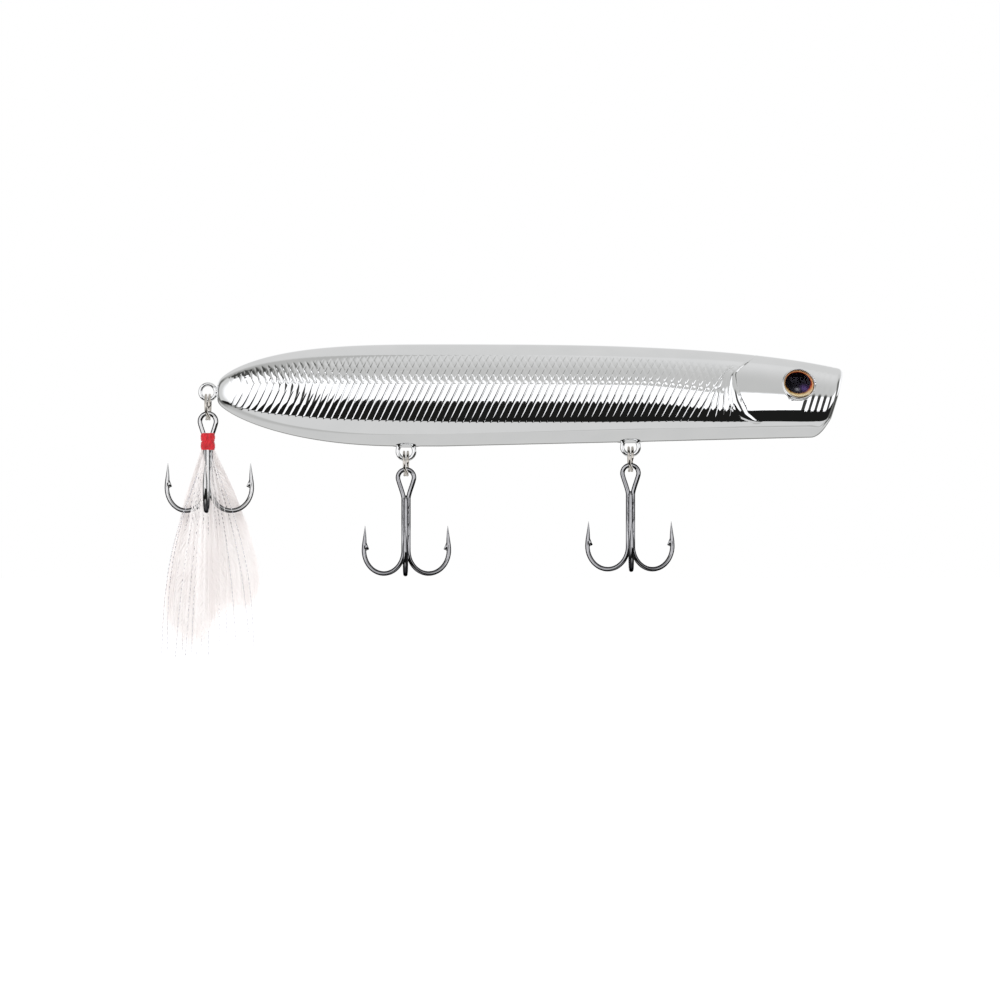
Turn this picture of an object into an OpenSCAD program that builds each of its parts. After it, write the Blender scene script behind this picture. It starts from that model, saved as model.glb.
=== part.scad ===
// Topwater popper: a hollow two-shell lure body with a cupped mouth, a line tie, three hangers with
// split rings and treble hooks, a feather-dressed tail hook, and the ballast and rattles inside.
//
// Millimetres.  The origin is the centre of the line-tie hole.  +X points to the nose, +Z to the back.
// Lengths along the body are measured from the tail end, heights from the body's long axis.

/* [Body] */
// Length of the body, tail end to nose tip
body_length = 125; // [110:1:140]
// Height of the back above the long axis
back_height = 10.4; // [9:0.1:12]
// Depth of the belly below the long axis
belly_depth = 10.1; // [9:0.1:12]
// Half the width of the body
flank_width = 9; // [8:0.1:10]
// How boxy a cross-section is: 2 is an ellipse
section_power = 2.2; // [2:0.1:3]
// Wall thickness of the moulded shells
wall = 1.6; // [1.2:0.1:2]
// Slack round pieces that are trapped between the shells
fit_gap = 0.05; // [0.02:0.01:0.1]

/* [Mouth] */
// Distance from the nose tip back to the line-tie hole
tie_setback = 4.6; // [4:0.1:6]
// Height of the long axis above the line-tie hole
axis_rise = 1; // [0:0.1:2]
// Lean of the mouth face, its upper lip forward
face_lean = 19.5; // [10:0.5:25]
// Radius of the rounded lip
lip = 1.3; // [0.6:0.1:1.3]
// Radius of the sphere that hollows the mouth
cup_sphere = 5.5; // [5.5:0.1:6.2]
// Radius of the mouth's opening
cup_opening = 5.45; // [5:0.05:5.45]

/* [Line tie and hangers] */
// Wire thickness of the line tie and the belly hangers
hanger_wire = 0.9; // [0.8:0.05:1]
// Middle radius of the line tie's eye
tie_eye = 1.5; // [1.4:0.05:1.6]
// Radius of the land pressed flat inside the line tie's eye
tie_land = 1.1; // [1.08:0.01:1.15]
// Middle radius of a belly hanger's eye
belly_eye = 1.65; // [1.5:0.05:1.8]
// Middle radius of the tail hanger's eye
tail_eye = 1.55; // [1.5:0.05:1.7]
// Middle radius of the loop that anchors each hanger inside the body
anchor_eye = 1.5; // [1.4:0.05:1.6]
// Distance of the rear belly hanger from the tail end
rear_hanger_at = 37.8; // [36:0.1:40]
// Distance of the front belly hanger from the tail end
front_hanger_at = 82.7; // [80:0.1:85]
// Depth of a belly hanger's eye centre below the belly
belly_eye_drop = 0.9; // [0.8:0.05:1.1]
// Distance of the tail hanger's eye centre behind the tail end
tail_eye_back = 1.8; // [1.6:0.1:2]
// Height of the tail hanger above the long axis
tail_eye_rise = 0.8; // [0.5:0.1:1]

/* [Split rings] */
// Outer radius of the belly split rings
belly_ring = 2.6; // [2.5:0.05:2.7]
// Outer radius of the tail split ring
tail_ring = 2.7; // [2.6:0.05:2.8]
// Width of a split ring across its two coils
ring_width = 1.3; // [1.2:0.05:1.4]
// Radial thickness of a split ring
ring_gauge = 0.7; // [0.6:0.05:0.75]
// Belly ring centre below its hanger's eye centre
belly_ring_drop = 2.5; // [2.4:0.05:2.7]
// Tail ring centre below its hanger's eye centre
tail_ring_drop = 3; // [2.9:0.05:3]

/* [Treble hooks] */
// Wire thickness of the hooks
hook_wire = 0.92; // [0.85:0.01:0.95]
// Middle radius of the round top of the hook's eye
hook_eye = 1.61; // [1.6:0.01:1.7]
// Length of the tapering eye below its round top
eye_taper = 3.6; // [3:0.1:4]
// Radius of the bend, to the middle of the wire
bend = 4.65; // [4.4:0.05:4.8]
// Inward lean of the spear, from upright
spear_lean = 5; // [3:0.5:12]
// Lowest point of a belly hook below its eye centre
belly_hook_drop = 19.7; // [19:0.1:21]
// Lowest point of the tail hook below its eye centre
tail_hook_drop = 18.3; // [18:0.1:19]
// Height of the points above the lowest point
point_rise = 10; // [9:0.1:10.4]
// Length of the tapering point
point_taper = 2.5; // [2:0.1:3]
// Belly hook's eye centre below its hanger's eye centre
belly_hook_eye_drop = 5.3; // [5.2:0.05:5.4]
// Tail hook's eye centre below its hanger's eye centre
tail_hook_eye_drop = 5.9; // [5.8:0.05:6]

/* [Tail dressing] */
// Top of the thread wrap below the tail hook's eye centre
wrap_top = 2.3; // [2:0.1:3]
// Length of the thread wrap
wrap_length = 3.4; // [3:0.1:4]
// Radius of the thread wrap at its fullest
wrap_radius = 1.45; // [1.4:0.05:1.6]
// Length of the feathers below the thread wrap
feather_length = 38.5; // [34:0.5:40]
// Width across the feathers near their ends
feather_width = 18.6; // [15:0.1:19]
// Length of the longest tinsel strand below the thread wrap
tinsel_length = 41.5; // [38:0.5:43]

/* [Eyes] */
// Radius of the eye
eye_radius = 3.15; // [3:0.05:3.2]
// Distance of the eye from the tail end
eye_at = 115.3; // [114:0.1:116]
// Height of the eye above the long axis
eye_height = 2.3; // [2:0.1:3]
// Upward tilt of the eye
eye_tilt = 21; // [15:1:25]
// Forward turn of the eye
eye_turn = 9; // [3:1:12]
// Height of the lens's dome
dome = 0.9; // [0.7:0.05:1]

/* [Ballast and rattles] */
// Radius of each fixed tail weight
weight_radius = 4.4; // [4:0.1:4.5]
// Radius of the knocker ball
knocker_radius = 4; // [3.5:0.1:4.5]
// Free travel of the knocker ball
knocker_travel = 12; // [8:0.5:13]
// Radius of each small rattle ball
rattle_radius = 2; // [1.8:0.1:2.2]
// Free travel of each rattle ball
rattle_travel = 2; // [1:0.1:2.5]

/* [Hidden] */
$fn = 48;

// The body's outline: each line rises from the blunt tail along a rounded shoulder to its full size,
// then falls away towards the face.
tail_back = 2.4;
tail_belly = 1;
tail_flank = 1.7;
face_station = body_length - 1.9;

// Place of a length along the body, and of a height above its axis, in the part's frame
function place_x(x) = x + tie_setback - body_length;
function place_z(z) = z + axis_rise;

function shoulder(x, full, start, run, round, square) =
    start + (full - start) * pow(1 - pow(1 - min(x / run, 1), round), square);
function taper(x, drop, from, power) = drop * pow(max(x - from, 0) / (face_station - from), power);
function back(x) = shoulder(x, back_height, tail_back, 48, 3.4, 0.65) - taper(x, 5.1, 35, 3.8);
function belly(x) = shoulder(x, belly_depth, tail_belly, 38, 2.2, 0.7) - taper(x, 1.8, 45, 1);
function flank(x) = shoulder(x, flank_width, tail_flank, 43, 2.7, 0.68) - taper(x, 1.9, 50, 2.4);
function mid(x) = (back(x) - belly(x)) / 2;
function half(x) = (back(x) + belly(x)) / 2;

// Height at which a cross-section is widest: level along the body, then lower in the head
function ease(s) = let (t = min(max(s, 0), 1)) t * t * (3 - 2 * t);
tail_widest = (tail_back - tail_belly) / 2;
body_widest = -0.6;
head_widest = -2.7;
function widest(x) = tail_widest + (body_widest - tail_widest) * ease(x / 30)
                   + (head_widest - body_widest) * ease((x - 84) / 22);

// Height from the widest level to the back, where rise is positive, or to the belly
function reach(x, rise) = rise > 0 ? back(x) - widest(x) : belly(x) + widest(x);

// Half-width of the body at a length and a height
function flank_at(x, z) =
    let (rise = z - widest(x))
    flank(x) * pow(1 - pow(abs(rise) / reach(x, rise), section_power), 1 / section_power);

// Cross-sections lean with the mouth face more and more towards the nose
lean_from = 80;
function lean(x) = tan(face_lean) * ease((x - lean_from) / (face_station - lean_from));

// A point of the half-section at length x: angle 0 is the back, 180 the belly.  Size shrinks the section
// about its middle.
function skin(x, angle, size = 1, inset = 0) =
    let (rise = cos(angle),
         full = widest(x) + (reach(x, rise) - inset) * sign(rise) * pow(abs(rise), 2 / section_power),
         z = mid(x) + size * (full - mid(x)),
         y = size * (flank(x) - inset) * pow(abs(sin(angle)), 2 / section_power))
    [place_x(x + lean(x) * z), y, place_z(z)];

// The mouth: a rounded lip, then a cup that is part of a sphere
face_size = half(face_station);
cup_lift = sqrt(pow(cup_sphere, 2) - pow(cup_opening, 2));
cup_edge = acos(cup_lift / cup_sphere);
lip_outer = [for (a = [30:30:90]) [lip * (1 - sin(a)), 1 - lip * (1 - cos(a)) / face_size]];
cup_steps = 6;
cup = [for (i = [0:cup_steps - 1]) let (a = cup_edge * (1 - i / cup_steps))
       [cup_sphere * cos(a) - cup_lift, sin(a) * cup_sphere / face_size]];
mouth = concat(lip_outer, cup);
cup_depth = cup_sphere - cup_lift;

// Behind the cup, the inside of the shell is a sphere about the same centre
function cup_back(size) =
    sqrt(pow(cup_sphere + wall, 2) - pow(size * (face_size - wall), 2)) - cup_lift;

// Stations along the outside and the inside of the shell, each [length, size, inset]
body_steps = 26;
tail_wall = 3;
outer_end = face_station - lip;
inner_end = face_station - cup_back(1);
outer_stations = concat(
    [for (i = [0:body_steps]) [outer_end * pow(i / body_steps, 1.4), 1, 0]],
    [for (m = mouth) [face_station - m[0], m[1], 0]]);
inner_stations = concat(
    [for (i = [0:body_steps]) [tail_wall + (inner_end - tail_wall) * pow(i / body_steps, 1.4), 1, wall]],
    [for (i = [1:len(mouth)]) let (size = 1 - i / (len(mouth) + 1))
     [face_station - cup_back(size), size, wall]]);

// Mesh of one half-shell: two skins from pole to pole, joined along the parting plane
round_steps = 18;
stations = len(outer_stations);
ring = round_steps + 1;
skin_points = stations * ring + 2;
function skin_grid(list) =
    [for (s = list) for (j = [0:round_steps]) skin(s[0], 180 * j / round_steps, s[1], s[2])];
shell_points = concat(
    skin_grid(outer_stations),
    [skin(0, 90, 0), skin(face_station - cup_depth, 90, 0)],
    skin_grid(inner_stations),
    [skin(tail_wall, 90, 0), skin(face_station - cup_back(0), 90, 0)]);
function turn(face, outward) = outward ? face : [for (i = [len(face) - 1:-1:0]) face[i]];
function skin_faces(first, outward) = concat(
    [for (i = [0:stations - 2]) for (j = [0:round_steps - 1])
     let (a = first + i * ring + j)
     turn([a, a + 1, a + ring + 1, a + ring], outward)],
    [for (j = [0:round_steps - 1])
     turn([first + stations * ring, first + j + 1, first + j], outward)],
    [for (j = [0:round_steps - 1])
     let (a = first + (stations - 1) * ring + j)
     turn([a, a + 1, first + stations * ring + 1], outward)]);
// Outer indices of one edge of the parting plane, pole to pole; the inner ones follow skin_points later
function seam_edge(j) = concat([stations * ring], [for (i = [0:stations - 1]) i * ring + j],
                               [stations * ring + 1]);
function seam_faces(j, outward) =
    let (edge = seam_edge(j))
    [for (i = [0:len(edge) - 2])
     turn([edge[i], edge[i + 1], edge[i + 1] + skin_points, edge[i] + skin_points], outward)];
shell_faces = concat(skin_faces(0, true), skin_faces(skin_points, false),
                     seam_faces(0, true), seam_faces(round_steps, false));

// Places of the hangers, rings and hooks
tail_hanger_x = place_x(-tail_eye_back);
tail_hanger_z = place_z(tail_eye_rise);
rear_hanger_x = place_x(rear_hanger_at);
front_hanger_x = place_x(front_hanger_at);
function belly_hanger_z(at) = place_z(-belly(at) - belly_eye_drop);
rear_hanger_z = belly_hanger_z(rear_hanger_at);
front_hanger_z = belly_hanger_z(front_hanger_at);
tail_hanger_wire = 0.8;
neck_radius = 0.62;

// Distance from an eye's centre to the centre of the anchor loop behind it
belly_anchor = 5.6;
tail_anchor = 6.75;
tie_anchor = 6.2;

// Chambers in the body: [from, to, height above the axis, radius], between bulkheads
bulkhead = 1.2;
chamber_wall = 1;
weights_from = 8.2;
weights_to = weights_from + 4 * weight_radius + 2 * fit_gap;
knocker_from = 45;
knocker_to = knocker_from + 2 * knocker_radius + knocker_travel;
rattle_length = 2 * rattle_radius + rattle_travel;
rear_rattle_from = 90.5;
rear_rattle_to = rear_rattle_from + rattle_length;
front_rattle_from = rear_rattle_to + bulkhead;
front_rattle_to = front_rattle_from + rattle_length;
ball_slack = 0.3;
ballast_height = 0.4;
rattle_height = 1.5;
weights_chamber = [weights_from, weights_to, ballast_height, weight_radius + fit_gap];
knocker_chamber = [knocker_from, knocker_to, -0.5, knocker_radius + ball_slack];
rear_rattle_chamber = [rear_rattle_from, rear_rattle_to, rattle_height, rattle_radius + ball_slack];
front_rattle_chamber = [front_rattle_from, front_rattle_to, rattle_height, rattle_radius + ball_slack];
chambers = [weights_chamber, knocker_chamber, rear_rattle_chamber, front_rattle_chamber];
bulkheads = [weights_from - bulkhead, weights_to, knocker_from - bulkhead, knocker_to,
             rear_rattle_from - bulkhead, rear_rattle_to, front_rattle_to];

// Locating pins: [length along the body, height above the axis]
pins = [[31, 6.2], [72, 6.4], [72, -6], [107, 3.6], [104, -5]];
pin_radius = 0.8;
pin_reach = 1.4;
pin_bottom = 0.2;
boss_radius = 1.8;
post_cover = 0.35;

// Hook geometry
hook_radius = hook_wire / 2;
shank_offset = 0.55;
shank_x = shank_offset * cos(30);
single_y = -shank_offset * (1 + sin(30));
leg_from = [hook_eye * cos(60), 0, -hook_eye * sin(60)];
leg_to = [shank_x, 0, -eye_taper];
weld_step = 0.02;
weld_lap = 0.3;

chrome = [0.82, 0.84, 0.86];
nickel = [0.62, 0.60, 0.55];
black_nickel = [0.24, 0.24, 0.27];

// A wire along an arc in the XZ plane, angles measured from +X towards +Z
module wire_arc(radius, wire, from, to) {
    rotate([90, 0, 0])
        rotate([0, 0, from])
            rotate_extrude(angle = to - from)
                translate([radius, 0])
                    circle(r = wire);
}

// A straight wire between two points, which may taper
module wire_line(from, to, wire, end) {
    run = to - from;
    length = norm(run);
    translate(from)
        rotate([0, acos(run[2] / length), atan2(run[1], run[0])])
            cylinder(h = length, r1 = wire, r2 = end);
}

module left_side() {
    translate([place_x(-10), 0, -30])
        cube([body_length + 20, 30, 60]);
}

// A moulded plate across the half-shell, from the parting plane into the wall
module bulkhead_plate(x) {
    middle = x + bulkhead / 2;
    edge = [for (j = [0:12]) skin(middle, 15 * j, 1, wall / 2)];
    translate([place_x(x), 0, 0])
        rotate([90, 0, 90])
            linear_extrude(height = bulkhead)
                polygon([for (p = edge) [p[1], p[2]]]);
}

// Half of a tube that holds one ball or a row of them, between two bulkheads
module half_chamber(chamber) {
    length = chamber[1] - chamber[0];
    translate([place_x(chamber[0]), 0, place_z(chamber[2])])
        rotate([0, 90, 0])
            rotate_extrude(angle = 180)
                translate([chamber[3], 0])
                    square([chamber_wall, length]);
}

// A post from the parting plane into the wall, no longer than its edge further from the mid-line allows
module post(x, z, radius) {
    edge = z + radius * sign(z - widest(x));
    translate([place_x(x), 0, place_z(z)])
        rotate([-90, 0, 0])
            cylinder(r = radius, h = flank_at(x, edge) - post_cover);
}

// The small raised pad where a belly hanger leaves the shell
module hanger_pad(at) {
    pad_radius = 2.9;
    pad_height = 0.3;
    intersection() {
        translate([place_x(at), 0, place_z(-belly(at) - pad_height)])
            cylinder(r = pad_radius, h = wall / 2 + pad_height);
        left_side();
    }
}

// The hollow left in the parting plane for a hanger: a slot through the wall
belly_slot_height = 3.6;
tail_slot_length = 6;
tie_slot_length = 5;
neck_slot = 2 * (neck_radius + fit_gap);
module hanger_slot(x, z, size_x, size_z) {
    depth = 2 * neck_radius;
    translate([x - size_x / 2, -depth / 2, z - size_z / 2])
        cube([size_x, depth, size_z]);
}

module eye_place() {
    translate([place_x(eye_at + lean(eye_at) * eye_height), flank_at(eye_at, eye_height), place_z(eye_height)])
        rotate([eye_tilt - 90, 0, -eye_turn])
            children();
}

socket_depth = 0.85;
socket_clear = 3;
film = 0.25;
lens_sink = 0.2;

module half_shell() {
    post_radius = anchor_eye - hanger_wire / 2 - fit_gap;
    slot_long = 2 * (belly_eye + hanger_wire / 2 + fit_gap);
    difference() {
        union() {
            polyhedron(points = shell_points, faces = shell_faces);
            for (x = bulkheads)
                bulkhead_plate(x);
            for (c = chambers)
                half_chamber(c);
            for (at = [rear_hanger_at, front_hanger_at]) {
                post(at, -belly(at) - belly_eye_drop + belly_anchor, post_radius);
                hanger_pad(at);
            }
            post(tail_anchor - tail_eye_back, tail_eye_rise, post_radius);
            post(body_length - tie_setback - tie_anchor, -axis_rise, post_radius);
        }
        for (at = [rear_hanger_at, front_hanger_at])
            hanger_slot(place_x(at), belly_hanger_z(at) + belly_eye, slot_long, belly_slot_height);
        hanger_slot(place_x(1), tail_hanger_z, tail_slot_length, neck_slot);
        hanger_slot(-tie_anchor / 2, 0, tie_slot_length, neck_slot);
        eye_place()
            translate([0, 0, -socket_depth])
                cylinder(r = eye_radius + 2 * fit_gap, h = socket_clear);
    }
}

// The left shell carries the locating pins, the right shell their sockets
module left_shell() {
    color(chrome)
        union() {
            half_shell();
            for (p = pins) {
                post(p[0], p[1], boss_radius);
                translate([place_x(p[0]), -pin_reach, place_z(p[1])])
                    rotate([-90, 0, 0])
                        cylinder(r = pin_radius, h = 2 * pin_reach);
            }
        }
}

module right_shell() {
    color(chrome)
        mirror([0, 1, 0])
            difference() {
                union() {
                    half_shell();
                    for (p = pins)
                        post(p[0], p[1], boss_radius);
                }
                for (p = pins)
                    translate([place_x(p[0]), -pin_bottom, place_z(p[1])])
                        rotate([-90, 0, 0])
                            cylinder(r = pin_radius + fit_gap, h = pin_reach + 2 * pin_bottom);
            }
}

// The printed foil behind the eye, at the bottom of its socket
module eye_film() {
    color([0.85, 0.45, 0.15])
        eye_place()
            translate([0, 0, -socket_depth])
                cylinder(r = eye_radius, h = film);
}

// The clear domed lens on top of the foil
module eye_lens() {
    rim = socket_depth - film;
    sphere_radius = (pow(eye_radius, 2) + pow(dome, 2)) / (2 * dome);
    color([0.05, 0.05, 0.07])
        eye_place()
            translate([0, 0, film - socket_depth])
                intersection() {
                    cylinder(r = eye_radius, h = rim + 2 * dome);
                    translate([0, 0, rim + dome - sphere_radius - lens_sink])
                        sphere(r = sphere_radius);
                }
}

// A wire eye with an anchor loop behind it, pointing along +Z: a figure of eight
module hanger(eye, wire, anchor) {
    union() {
        wire_arc(eye, wire / 2, 0, 360);
        translate([0, 0, anchor])
            wire_arc(anchor_eye, wire / 2, 0, 360);
        translate([0, 0, eye])
            cylinder(r = neck_radius - fit_gap, h = anchor - eye - anchor_eye);
    }
}

// The line tie's eye is pressed flat inside, which gives its hole a short straight land
module line_tie() {
    color(chrome)
        difference() {
            rotate([0, -90, 0])
                hanger(tie_eye, hanger_wire, tie_anchor);
            rotate([90, 0, 0])
                cylinder(r = tie_land, h = 4, center = true);
        }
}

module belly_hanger(at) {
    color(chrome)
        translate([place_x(at), 0, belly_hanger_z(at)])
            hanger(belly_eye, hanger_wire, belly_anchor);
}

module tail_hanger() {
    color(chrome)
        translate([tail_hanger_x, 0, tail_hanger_z])
            rotate([0, 90, 0])
                hanger(tail_eye, tail_hanger_wire, tail_anchor);
}

// A split ring across the body: two coils of rounded flat wire, shown as one band
module split_ring(radius) {
    corner = 0.25;
    color(nickel)
        rotate([0, 90, 0])
            rotate_extrude()
                translate([radius - ring_gauge, -ring_width / 2])
                    hull() {
                        for (x = [corner, ring_gauge - corner])
                            for (y = [corner, ring_width - corner])
                                translate([x, y])
                                    circle(r = corner, $fn = 16);
                    }
}

// One hook below its shank's top, which is at the origin: shank, bend, spear, barb and point.
// The straight runs are a hair thinner than the bend and reach a little way into it.
module hook_limb(shank, tip) {
    straight = hook_radius - weld_step;
    spear_start = [bend * (1 + cos(spear_lean)), 0, -shank + bend * sin(spear_lean)];
    up = [-sin(spear_lean), 0, cos(spear_lean)];
    spear_run = (-tip - spear_start[2]) / cos(spear_lean);
    taper_start = spear_start + (spear_run - point_taper) * up;
    barb_reach = 1.1;
    barb_thickness = 0.3;
    tip_radius = 0.04;
    wire_line([0, 0, 0], [0, 0, -shank - weld_lap], straight, straight);
    translate([bend, 0, -shank])
        wire_arc(bend, hook_radius, 180, 360 + spear_lean);
    wire_line(spear_start - weld_lap * up, taper_start, straight, straight);
    wire_line(taper_start - weld_lap * up, taper_start + point_taper * up, straight - weld_step, tip_radius);
    translate(taper_start)
        rotate([90, -spear_lean, 0])
            linear_extrude(height = barb_thickness, center = true)
                polygon([[0, -1.2], [-barb_reach, -0.6], [0, 0.9]]);
}

// The double hook is one wire: it runs up from one bend, round the eye and down to the other bend
module double_hook(drop) {
    shank_end = drop - bend - hook_radius;
    color(black_nickel)
        union() {
            wire_arc(hook_eye, hook_radius, 0, 360);
            for (side = [0, 1])
                mirror([side, 0, 0]) {
                    wire_line(leg_from, leg_to, hook_radius, hook_radius);
                    translate(leg_to)
                        rotate([0, 0, 30])
                            hook_limb(shank_end - eye_taper, drop - point_rise - eye_taper);
                }
        }
}

// The third hook is brazed into the groove between the other two shanks
module single_hook(drop) {
    top = eye_taper - 0.3;
    shank_end = drop - bend - hook_radius;
    color(black_nickel)
        translate([0, single_y, -top])
            rotate([0, 0, -90])
                hook_limb(shank_end - top, drop - point_rise - top);
}

module at_belly_hook(at) {
    translate([place_x(at), 0, belly_hanger_z(at) - belly_hook_eye_drop])
        children();
}

module at_tail_hook() {
    translate([tail_hanger_x, 0, tail_hanger_z - tail_hook_eye_drop])
        children();
}

// The three shanks of the tail hook with a little slack round them, and the space between them
module shank_space(length) {
    for (p = [[shank_x, 0], [-shank_x, 0], [0, single_y], [0, single_y / 3]])
        translate([p[0], p[1], -length])
            cylinder(r = hook_radius + fit_gap, h = length);
}

// Two humps of bound thread round the shanks
wrap_end = wrap_top + wrap_length;
module thread_wrap() {
    hump = wrap_length / 2;
    waist = wrap_radius - 0.25;
    edge = 0.5;
    color([0.75, 0.05, 0.08])
        at_tail_hook()
            difference() {
                translate([0, single_y / 3, -wrap_top - wrap_length])
                    rotate_extrude()
                        polygon([[0, 0], [waist, 0], [wrap_radius, edge], [wrap_radius, hump - edge],
                                 [waist, hump], [wrap_radius, hump + edge],
                                 [wrap_radius, 2 * hump - edge], [waist, 2 * hump], [0, 2 * hump]]);
                shank_space(wrap_end + 1);
                for (side = [0, 1])
                    mirror([side, 0, 0])
                        wire_line(leg_from, 1.1 * leg_to - 0.1 * leg_from,
                                  hook_radius + 2 * fit_gap, hook_radius + 2 * fit_gap);
            }
}

// The dressing's bound collar, and its two leaves in front of and behind the shanks
collar_radius = 2.1;
collar_length = 1.2;
leaf = 0.5;
front_leaf_y = -2.1;
back_leaf_y = 1.2;

// The outline of one spray of feathers, hanging down from its tip at the top
module spray(length, width) {
    polygon([[-0.9, 0], [0.9, 0],
             [0.27 * width, -0.28 * length], [0.47 * width, -0.62 * length],
             [0.5 * width, -0.8 * length], [0.36 * width, -0.86 * length],
             [0.1 * width, -0.96 * length], [-0.12 * width, -length],
             [-0.4 * width, -0.98 * length], [-0.48 * width, -0.86 * length],
             [-0.46 * width, -0.62 * length], [-0.27 * width, -0.28 * length]]);
}

// The hackle feathers: a bound collar and two flat sprays that part round the bends of the hook.
// The single hook's limb passes through the front spray, the double hook's limbs through the back one.
module feather_dressing() {
    single_parting = hook_wire + 0.5;
    double_parting = 4.2;
    double_parting_at = 2.9;
    parting_height = 3.2;
    parting_bottom = -tail_hook_drop - 0.4;
    color([0.96, 0.90, 0.90])
        at_tail_hook()
            translate([0, 0, -wrap_end])
                difference() {
                    union() {
                        translate([0, single_y / 3, -collar_length])
                            cylinder(r = collar_radius, h = collar_length);
                        for (y = [front_leaf_y, back_leaf_y])
                            translate([0, y + leaf, 0])
                                rotate([90, 0, 0])
                                    linear_extrude(height = leaf)
                                        spray(feather_length, feather_width);
                    }
                    translate([0, 0, wrap_end])
                        shank_space(tail_hook_drop);
                    translate([-single_parting / 2, front_leaf_y - leaf, wrap_end + parting_bottom])
                        cube([single_parting, 3 * leaf, point_rise]);
                    for (side = [-1, 1])
                        translate([side * double_parting_at - double_parting / 2, back_leaf_y - leaf,
                                   wrap_end + parting_bottom])
                            cube([double_parting, 3 * leaf, parting_height]);
                }
}

// Straight strands of tinsel in front of the feathers, each leaning by so many degrees, from a band
// round the front of their collar
module tinsel() {
    strand = 0.3;
    band = 0.4;
    leans = [-12.5, -10, -7.5, -4.5, 3.5, 6.5, 9.5];
    root_spacing = 0.06;
    shorter = 1.2;
    y = front_leaf_y - 0.45;
    function strand_length(i) = tinsel_length - shorter * (i % 3);
    color([0.95, 0.95, 1])
        at_tail_hook()
            difference() {
                union() {
                    translate([0, single_y / 3, -wrap_end - collar_length])
                        cylinder(r = collar_radius + band, h = collar_length);
                    for (i = [0:len(leans) - 1])
                        translate([root_spacing * leans[i], y, -wrap_end])
                            rotate([0, -leans[i], 0])
                                translate([-strand / 2, -strand / 2, -strand_length(i)])
                                    cube([strand, strand, strand_length(i)]);
                }
                translate([0, single_y / 3, -wrap_end - 2 * collar_length])
                    cylinder(r = collar_radius + fit_gap, h = 3 * collar_length);
                translate([-tinsel_length / 2, front_leaf_y - 2 * fit_gap, -wrap_end - tinsel_length])
                    cube([tinsel_length, feather_width, 2 * tinsel_length]);
            }
}

module tail_weights() {
    color("slategray")
        for (i = [0, 1])
            translate([place_x(weights_from + weight_radius * (1 + 2 * i) + fit_gap * (0.5 + i)),
                       0, place_z(ballast_height)])
                sphere(r = weight_radius);
}

// A ball in the middle of its chamber
module loose_ball(chamber, radius) {
    color("silver")
        translate([place_x((chamber[0] + chamber[1]) / 2), 0, place_z(chamber[2])])
            sphere(r = radius);
}

right_shell();
left_shell();
mirror([0, 1, 0]) eye_film();  // right_eye_film
eye_film();  // left_eye_film
mirror([0, 1, 0]) eye_lens();  // right_eye_lens
eye_lens();  // left_eye_lens
line_tie();
belly_hanger(front_hanger_at);  // front_belly_hanger
belly_hanger(rear_hanger_at);  // rear_belly_hanger
tail_hanger();
translate([front_hanger_x, 0, front_hanger_z - belly_ring_drop]) split_ring(belly_ring);  // front_split_ring
translate([rear_hanger_x, 0, rear_hanger_z - belly_ring_drop]) split_ring(belly_ring);  // rear_split_ring
translate([tail_hanger_x, 0, tail_hanger_z - tail_ring_drop]) split_ring(tail_ring);  // tail_split_ring
at_belly_hook(front_hanger_at) double_hook(belly_hook_drop);  // front_double_hook
at_belly_hook(front_hanger_at) single_hook(belly_hook_drop);  // front_single_hook
at_belly_hook(rear_hanger_at) double_hook(belly_hook_drop);  // rear_double_hook
at_belly_hook(rear_hanger_at) single_hook(belly_hook_drop);  // rear_single_hook
at_tail_hook() double_hook(tail_hook_drop);  // tail_double_hook
at_tail_hook() single_hook(tail_hook_drop);  // tail_single_hook
thread_wrap();
feather_dressing();
tinsel();
tail_weights();
loose_ball(knocker_chamber, knocker_radius);  // knocker_ball
loose_ball(front_rattle_chamber, rattle_radius);  // front_rattle_ball
loose_ball(rear_rattle_chamber, rattle_radius);  // rear_rattle_ball
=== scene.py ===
"""Looks of the topwater popper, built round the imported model. Lengths are in mm until a mesh is made."""
import bpy
from math import acos, cos, pi, radians, sin, sqrt, tan
import numpy as np
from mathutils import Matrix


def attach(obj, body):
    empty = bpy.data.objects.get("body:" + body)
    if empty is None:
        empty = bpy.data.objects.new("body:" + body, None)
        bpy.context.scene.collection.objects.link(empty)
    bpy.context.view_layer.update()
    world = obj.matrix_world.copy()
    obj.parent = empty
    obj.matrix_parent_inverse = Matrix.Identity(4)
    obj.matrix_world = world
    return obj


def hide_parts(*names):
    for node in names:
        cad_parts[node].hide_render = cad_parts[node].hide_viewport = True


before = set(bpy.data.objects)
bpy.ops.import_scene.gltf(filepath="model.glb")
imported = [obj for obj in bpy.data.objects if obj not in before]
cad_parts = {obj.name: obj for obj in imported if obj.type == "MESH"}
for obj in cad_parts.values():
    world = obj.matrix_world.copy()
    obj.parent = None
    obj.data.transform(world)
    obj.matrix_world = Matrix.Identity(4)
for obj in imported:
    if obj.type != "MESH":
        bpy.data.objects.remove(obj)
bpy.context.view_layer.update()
scene = bpy.context.scene
MM = 0.001
rng = np.random.default_rng(11)
SIDES = (("left", 1), ("right", -1))

# ---- the body's outline, as in the CAD source
LENGTH = 125.0
SETBACK = 4.6
RISE = 1.0
FACE = 123.1
POWER = 2.2
WALL = 1.6
LIP = 1.3
CUP_SPHERE = 5.5
CUP_OPENING = 5.45
LEAN = tan(radians(19.5))
REAR_AT = 37.8
FRONT_AT = 82.7


def place_x(x):
    return x + SETBACK - LENGTH


def place_z(z):
    return z + RISE


def ease(s):
    t = np.clip(s, 0.0, 1.0)
    return t * t * (3 - 2 * t)


def shoulder(x, full, start, run, bend, square):
    s = np.minimum(x / run, 1.0)
    return start + (full - start) * (1 - (1 - s) ** bend) ** square


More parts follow.
